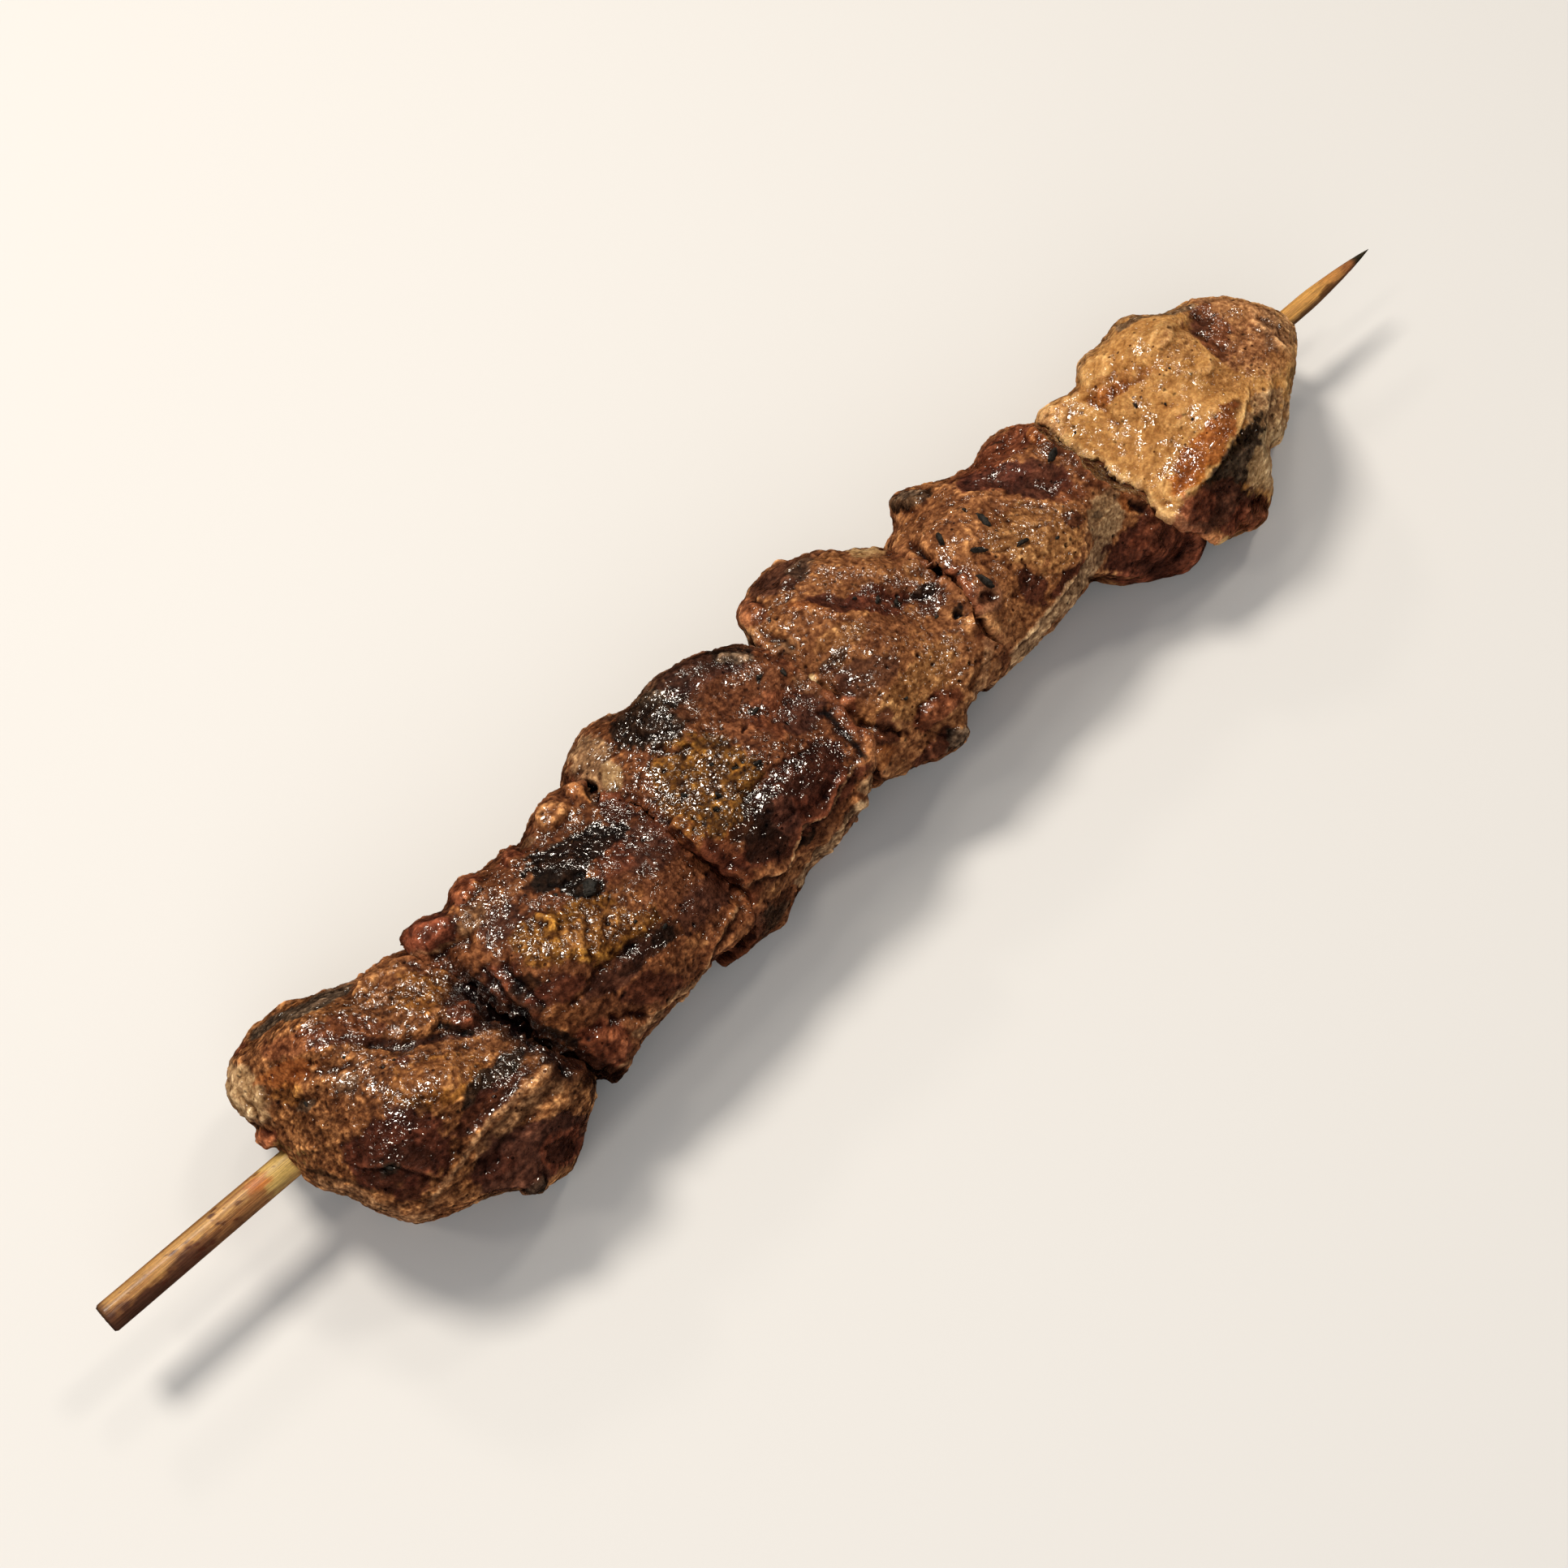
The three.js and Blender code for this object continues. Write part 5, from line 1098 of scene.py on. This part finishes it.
# ------------------------------------------------------------------ pieces
def piece(name, v, tris, material, node, smooth=True):
    me = bpy.data.meshes.new(name)
    v = (v + OFF) / 1000
    me.vertices.add(len(v))
    me.vertices.foreach_set("co", v.astype(np.float32).ravel())
    me.loops.add(len(tris) * 3)
    me.loops.foreach_set("vertex_index", tris.astype(np.int32).ravel())
    me.polygons.add(len(tris))
    me.polygons.foreach_set("loop_start", np.arange(0, len(tris) * 3, 3, dtype=np.int32))
    me.polygons.foreach_set("loop_total", np.full(len(tris), 3, np.int32))
    me.polygons.foreach_set("use_smooth", np.full(len(tris), smooth))
    me.update()
    me.validate()
    me.materials.append(material)
    o = bpy.data.objects.new(name, me)
    bpy.context.scene.collection.objects.link(o)
    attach(o, "root")
    if node:
        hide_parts(node)
    return o


# ------------------------------------------------------------------ camera, light and floor
def build_stage():
    cam = bpy.data.cameras.new("camera")
    cam.lens, cam.sensor_width = 55.9, 36
    cam.clip_start, cam.clip_end = 0.01, 20
    o = bpy.data.objects.new("camera", cam)
    bpy.context.scene.collection.objects.link(o)
    rise, turn = math.radians(58.0), math.radians(-45.2796)
    back = np.array([math.sin(turn) * math.cos(rise), -math.cos(turn) * math.cos(rise), math.sin(rise)])
    right = np.cross(-back, [0, 0, 1])
    right /= np.linalg.norm(right)
    up = np.cross(right, -back)
    at = (PEAK + OFF) / 1000
    o.matrix_world = Matrix([[right[k], up[k], back[k], at[k]] for k in range(3)] + [[0, 0, 0, 1]])
    bpy.context.scene.camera = o

    floor_mesh = bpy.data.meshes.new("floor")
    s = 4.0
    floor_mesh.from_pydata([(-s, -s, -0.0002), (s, -s, -0.0002), (s, s, -0.0002), (-s, s, -0.0002)], [], [(0, 1, 2, 3)])
    floor = bpy.data.objects.new("floor", floor_mesh)
    bpy.context.scene.collection.objects.link(floor)
    m = bpy.data.materials.new("floor")
    m.use_nodes = True
    b = m.node_tree.nodes["Principled BSDF"]
    b.inputs["Base Color"].default_value = (0.74, 0.74, 0.74, 1)
    b.inputs["Roughness"].default_value = 0.75
    floor_mesh.materials.append(m)
    floor.visible_glossy = False

    # The world and the broad lamps light the meat without a mirror image of their own,
    # so that only the small lamps glint on its wet crust.
    world = bpy.data.worlds.new("world")
    bpy.context.scene.world = world
    world.use_nodes = True
    world.node_tree.nodes["Background"].inputs["Color"].default_value = (1.0, 1.0, 1.0, 1)
    world.node_tree.nodes["Background"].inputs["Strength"].default_value = WORLD
    world.cycles_visibility.glossy = False
    for name, place, target, size, power, colour, glints in LAMPS:
        d = bpy.data.lights.new(name, "AREA")
        d.shape, d.size, d.energy, d.color = "DISK", size, power, colour
        l = bpy.data.objects.new(name, d)
        bpy.context.scene.collection.objects.link(l)
        l.visible_glossy = glints
        z = np.array(place, float) - np.array(target, float)
        z /= np.linalg.norm(z)
        x = np.cross([0, 0, 1], z)
        x /= np.linalg.norm(x)
        y = np.cross(z, x)
        l.matrix_world = Matrix([[x[k], y[k], z[k], place[k]] for k in range(3)] + [[0, 0, 0, 1]])
    view = bpy.context.scene.view_settings
    view.view_transform, view.look, view.exposure, view.gamma = "Standard", "None", 0, 1


WORLD = 0.24
LAMPS = [
    ("key", (-0.12, 0.42, 0.85), (0, 0, 0.01), 0.25, 6.0, (1.0, 0.91, 0.79), True),
    ("fill", (-0.62, -0.55, 0.6), (0, 0, 0.01), 0.9, 3.4, (1.0, 0.98, 0.95), False),
    ("side", (0.42, -0.02, 0.86), (0, 0, 0.01), 0.15, 1.1, (1.0, 0.90, 0.77), True),
    ("high", (0.34, 0.36, 0.85), (0, 0, 0.01), 0.12, 0.6, (1.0, 0.90, 0.77), True),
    ("back", (0.10, 0.72, 0.62), (0, 0, 0.01), 0.13, 0.7, (1.0, 0.90, 0.77), True),
    ("left", (-0.50, 0.12, 0.80), (0, 0, 0.01), 0.12, 0.6, (1.0, 0.90, 0.77), True),
]
build_stage()


# ------------------------------------------------------------------ skewer
def skewer_radius(x):
    """It tapers evenly to its neck, then to a point."""
    along = (x + SK_HALF) / (2 * SK_HALF)
    r = SK_R * (1 - 0.284 * along)
    point = np.clip((x - (SK_HALF - 16)) / 16, 0, 1)
    return r * np.interp(point, [0, 0.12, 0.3, 0.5, 0.7, 0.86, 0.95, 1], [1, 0.96, 0.84, 0.68, 0.48, 0.27, 0.12, 0.02])


def bamboo():
    sides = 56
    xs = np.concatenate([np.linspace(-SK_HALF, -SK_HALF + 1.2, 9)[:-1], np.arange(-SK_HALF + 1.2, SK_HALF - 2, 0.34),
                         np.linspace(SK_HALF - 2, SK_HALF, 16)])
    turn = np.arange(sides) / sides * 2 * math.pi
    X, T = np.meshgrid(xs, turn, indexing="ij")
    X, T = X.ravel(), T.ravel()
    r = skewer_radius(X)
    around = np.stack([X, 2 * np.cos(T), 2 * np.sin(T)], 1)
    fibre = noise(around, (30, 0.34, 0.34), 4001) + 0.6 * noise(around, (16, 0.2, 0.2), 4002)
    facet = 0.02 * np.cos(5 * T + 0.6 + 0.004 * X) * np.minimum(r, 1)
    worn = 0.22 * (1 - ramp(X + SK_HALF, 0, 0.5)) ** 2
    r = np.maximum(r + facet + 0.035 * fibre * np.minimum(r, 1) - worn, 0.02)
    X = X + (X < -SK_HALF + 0.01) * np.maximum(0.1 * noise(around, 0.5, 4003), 0)
    v = np.stack([X, r * np.cos(T), AXIS + r * np.sin(T)], 1)
    n = len(xs)
    a = np.arange(n - 1)[:, None] * sides + np.arange(sides)[None]
    b = np.arange(n - 1)[:, None] * sides + (np.arange(sides)[None] + 1) % sides
    a, b = a.ravel(), b.ravel()
    tris = [np.stack([a, b + sides, a + sides], 1), np.stack([a, b, b + sides], 1)]
    # the cut end, in rings so that its fibres can be uneven
    ends, last = [], np.arange(sides)
    for ring, share in enumerate((0.82, 0.6, 0.38, 0.18)):
        p = v[:sides] * 1.0
        p[:, 1] *= share
        p[:, 2] = AXIS + (p[:, 2] - AXIS) * share
        p[:, 0] = -SK_HALF + np.maximum(0.16 * noise(p, (9, 0.45, 0.45), 4004), 0)
        new = len(v) + sides * ring + np.arange(sides)
        ends.append(p)
        nxt = (np.arange(sides) + 1) % sides
        tris += [np.stack([last, new, new[nxt]], 1), np.stack([last, new[nxt], last[nxt]], 1)]
        last = new
    tip = len(v) + sides * 4
    hub = tip + 1
    v = np.concatenate([v] + ends + [[[SK_HALF, 0, AXIS]], [[-SK_HALF, 0, AXIS]]])
    row = (n - 1) * sides + np.arange(sides)
    nxt = (np.arange(sides) + 1) % sides
    tris += [np.stack([row, row[nxt], np.full(sides, tip)], 1), np.stack([last[nxt], last, np.full(sides, hub)], 1)]
    return v, np.concatenate(tris)


def bamboo_colours(v):
    x, y, z = v[:, 0], v[:, 1], v[:, 2] - AXIS
    r = np.maximum(np.hypot(y, z), 0.05)
    # -1 along the top edge as it is seen, 1 along the bottom edge
    across = -(0.909 * y + 0.417 * z) / r
    fibre = noise(v, (26, 0.30, 0.30), 4011) + 0.6 * noise(v, (14, 0.16, 0.16), 4012)
    patch = noise(v, (5, 1.2, 1.2), 4013)
    ragged = noise(v, (1.4, 0.6, 0.6), 4014) + 0.5 * noise(v, (0.6, 0.3, 0.3), 4015)

    def rgb(*c):
        return linear(c)

    t = np.clip(0.5 + 0.5 * fibre + 0.25 * patch, 0, 1)[:, None]
    col = rgb(150, 98, 46) * (1 - t) + rgb(214, 166, 96) * t

    def lay(colour, w):
        nonlocal col
        w = np.clip(w, 0, 1)[:, None]
        col = col * (1 - w) + colour * w

    def between(value, a, b, soft):
        return ramp(value, a - soft, a + soft) * (1 - ramp(value, b - soft, b + soft))

    # smoked along its lower side, from the cut end to where it was held off the grill
    lay(rgb(128, 76, 40), 0.75 * between(x, -126, -97, 1.5) * ramp(across + 0.35 * patch + 0.3 * ragged, -0.35, 0.25))
    lay(rgb(70, 36, 24), 0.9 * between(x + 2.0 * patch, -126, -109.5, 2.5) * ramp(across + 0.25 * patch + 0.25 * ragged, -0.05, 0.35))
    lay(rgb(96, 54, 30), 0.55 * between(x, -117, -104, 2.0) * ramp(across + 0.3 * ragged, 0.35, 0.8))
    lay(rgb(206, 172, 96), 0.85 * between(x + 0.5 * ragged, -100.6, -96.0, 0.7) * ramp(-across + 0.2 * ragged, -1.1, -0.5))
    lay(rgb(182, 98, 26), 0.8 * between(x + 0.8 * ragged, -102.6, -99.6, 0.6) * between(across + 0.3 * ragged, -0.75, 0.05, 0.2))
    lay(rgb(112, 66, 34), 0.8 * between(x + 0.5 * ragged, -96.2, -60, 0.5))
    d, _, lot = cells(v, (1.7, 0.95, 0.95), 4016)
    spots = (1 - ramp(d + 0.16 * ragged, 0.26, 0.36)) * (lot > 0.5) * between(x, -119, -99.5, 2.0)
    lay(rgb(82, 36, 14), 0.9 * spots)
    d, _, lot = cells(v, (0.9, 0.5, 0.5), 4017)
    lay(rgb(92, 46, 20), 0.7 * (1 - ramp(d, 0.2, 0.3)) * (lot > 0.8) * between(x, -125, -97, 1.0))
    lay(rgb(120, 72, 34), 0.6 * (1 - ramp(x, -100, -90)) * ramp(-across, 0.86, 0.98))
    lay(rgb(84, 48, 30), 0.8 * (1 - ramp(x + 0.3 * ragged, -124.6, -123.4)))
    lay(rgb(58, 34, 24), 0.75 * (1 - ramp(x, -125.0, -124.6)) * ramp(r, 1.2, 1.8))
    # the pointed end: golden, scorched underneath, with a burnt tip
    far = ramp(x, 90, 96)
    lay(rgb(222, 160, 76), 0.8 * far * t[:, 0])
    lay(rgb(190, 128, 66), 0.8 * ramp(x + 0.8 * ragged, 111, 116))
    lay(rgb(92, 52, 26), 0.85 * far * ramp(across + 0.15 * ragged, 0.45, 0.8))
    lay(rgb(108, 64, 30), 0.8 * between(x + 0.6 * ragged, 111, 115.2, 1.0) * ramp(across + 0.3 * ragged, -0.1, 0.3))
    lay(rgb(134, 74, 42), 0.7 * between(x, 117.5, 121.5, 1.0))
    lay(rgb(26, 29, 19), 0.96 * ramp(x + 0.5 * ragged, 119.6, 121.4))
    return col


def bamboo_material():
    g = Graph("bamboo")
    along = g.place(scale=(0.03, 1.0, 1.0))
    at = g.place()
    tone = g.attribute("tone", "Color")
    streak = g.noise(along, 5200, 3, 0.6)
    thin = g.noise(along, 11000, 2, 0.6)
    fine = g.noise(at, 2600, 2, 0.6)
    shade = g.math("MULTIPLY", g.span(streak, 0.3, 0.7, 0.72, 1.26), g.span(fine, 0.3, 0.7, 0.9, 1.1))
    shade = g.math("MULTIPLY", shade, g.span(thin, 0.3, 0.7, 0.85, 1.14))
    colour = g.node("ShaderNodeVectorMath", operation="SCALE")
    g.t.links.new(tone, colour.inputs[0])
    g.t.links.new(shade, colour.inputs["Scale"])
    g.t.links.new(colour.outputs[0], g.bsdf.inputs["Base Color"])
    g.t.links.new(g.span(streak, 0.3, 0.7, 0.38, 0.55), g.bsdf.inputs["Roughness"])
    g.bsdf.inputs["Specular IOR Level"].default_value = 0.4
    g.bsdf.inputs["Coat Weight"].default_value = 0.25
    g.bsdf.inputs["Coat Roughness"].default_value = 0.25
    h = g.math("ADD", streak, g.math("MULTIPLY", thin, 0.5))
    g.t.links.new(g.bump(h, 0.00010, 0.9), g.bsdf.inputs["Normal"])
    return g.m


# ------------------------------------------------------------------ flakes of char
FLAKES = [
    (0, -89.7, 4.9, 0.72, 0.60, -170), (0, -87.8, -9.3, 1.06, 0.79, 170), (0, -82.0, 6.7, 0.46, 0.40, -163),
    (0, -77.9, 1.6, 0.43, 0.39, -143), (1, -42.9, 2.6, 3.14, 2.05, 154), (1, -39.5, -9.0, 0.87, 0.65, -171),
    (1, -41.8, -5.7, 0.61, 0.54, 150), (1, -46.8, 4.8, 0.64, 0.48, -170), (2, -23.5, 3.9, 1.09, 0.89, -173),
    (2, -20.2, 0.7, 1.33, 1.03, 167), (2, -22.1, -0.8, 1.25, 0.87, -171), (2, -15.6, 2.0, 1.04, 0.96, 132),
    (2, -12.7, 0.5, 1.06, 0.86, -158), (2, -2.3, 10.5, 1.01, 0.83, 46), (2, 0.4, 8.6, 1.22, 0.87, 67),
    (2, -6.7, 7.0, 1.34, 0.98, 151), (2, -17.3, 5.0, 0.80, 0.63, -162), (3, 19.3, 7.9, 1.45, 0.92, -171),
    (3, 21.0, 5.8, 1.43, 0.99, 168), (3, 17.3, 10.5, 0.73, 0.51, -167), (3, 23.1, -0.2, 0.66, 0.59, 179),
    (3, 9.7, -6.6, 0.70, 0.49, -169), (4, 34.0, 8.9, 2.39, 1.97, -173), (4, 40.7, 7.0, 2.63, 1.65, 105),
    (4, 36.1, 3.7, 2.65, 1.49, -157), (4, 32.8, -0.5, 3.74, 2.01, -158), (4, 41.9, -0.0, 2.05, 1.49, -162),
    (4, 57.6, 7.6, 3.03, 1.77, -150), (4, 40.3, 10.3, 0.75, 0.56, -157), (4, 46.3, -3.0, 0.85, 0.61, -163),
    (5, 73.9, 5.3, 0.80, 0.46, -171), (5, 77.3, 2.4, 0.59, 0.40, -164), (5, 63.4, 8.4, 0.56, 0.35, -169),
    (5, 83.2, 6.3, 0.49, 0.35, -158), (5, 77.8, -2.5, 0.52, 0.35, -166)]


def nugget(size, seed):
    """A small crumb: a lumpy ball squashed flat."""
    p, t = geodesic(3)
    bump = 1 + 0.45 * noise(p, 0.8, seed) + 0.2 * noise(p, 0.35, seed + 1)
    return p * bump[:, None] * np.array(size), t


def flakes(chunks):
    """Crumbs of char stuck to the crust: where, on which chunk, how long and wide, which way."""
    vs, ts, count = [], [], 0
    for k, (i, x, y, long, wide, turn) in enumerate(FLAKES):
        v, n, px, py, towards = chunks[i]
        score = np.hypot(px - x, py - y) + 9.0 * (towards < 0.15)
        at = np.argmin(score)
        up = n[np.hypot(*(v - v[at])[:, :2].T) < 1.2].mean(0)
        up /= np.linalg.norm(up)
        a = math.radians(turn)
        side = np.array([math.cos(a), math.sin(a), 0.0])
        side -= up * (side @ up)
        side /= np.linalg.norm(side)
        p, t = nugget((long / 2, wide / 2, 0.14 + 0.13 * wide), 5000 + 7 * k)
        frame3 = np.stack([side, np.cross(up, side), up])
        vs.append(v[at] + p @ frame3 + up * 0.08)
        ts.append(t + count)
        count += len(p)
    return np.concatenate(vs), np.concatenate(ts)


def char_material():
    g = Graph("char_crumbs")
    at = g.place()
    n = g.noise(at, 2400, 3, 0.6)
    g.t.links.new(g.mix(g.span(n, 0.3, 0.7, 0, 1), (0.006, 0.006, 0.005, 1), (0.032, 0.027, 0.022, 1)), g.bsdf.inputs["Base Color"])
    g.t.links.new(g.span(n, 0.3, 0.7, 0.5, 0.75), g.bsdf.inputs["Roughness"])
    g.bsdf.inputs["Specular IOR Level"].default_value = 0.25
    g.t.links.new(g.bump(n, 0.0002, 1.0), g.bsdf.inputs["Normal"])
    return g.m
for c in CHUNKS:
    c["radii"] = np.array(c["outline"])
shown_chunks = {}
for i, c in enumerate(CHUNKS):
    v, tris = chunk_base(i, 3)
    mean = relaxer(len(v), tris)
    shown, r = displace(i, v, tris, mean)
    tone, wet = colours(i, v, r)
    o = piece(f"meat_{i + 1}", shown, tris, meat_material(f"meat_{i + 1}", c["grain"][0], i == 5), c["name"])
    colour_attribute(o.data, "tone", tone)
    flat_attribute(o.data, "wet", wet)
    flat_attribute(o.data, "fibre", r["kinds"] @ FIBRES)
    flat_attribute(o.data, "smooth", np.clip(1.25 - r["kinds"] @ BOLD * 1.25, 0, 1))
    flat_attribute(o.data, "mottle", r["kinds"] @ MOTTLE)
    px, py = plan(shown)
    shown_chunks[i] = (shown, r["normal"], px, py, r["towards"])

v, tris = bamboo()
o = piece("stick", v, tris, bamboo_material(), "skewer")
colour_attribute(o.data, "tone", bamboo_colours(v))
v, tris = flakes(shown_chunks)
piece("crumbs", v, tris, char_material(), None)
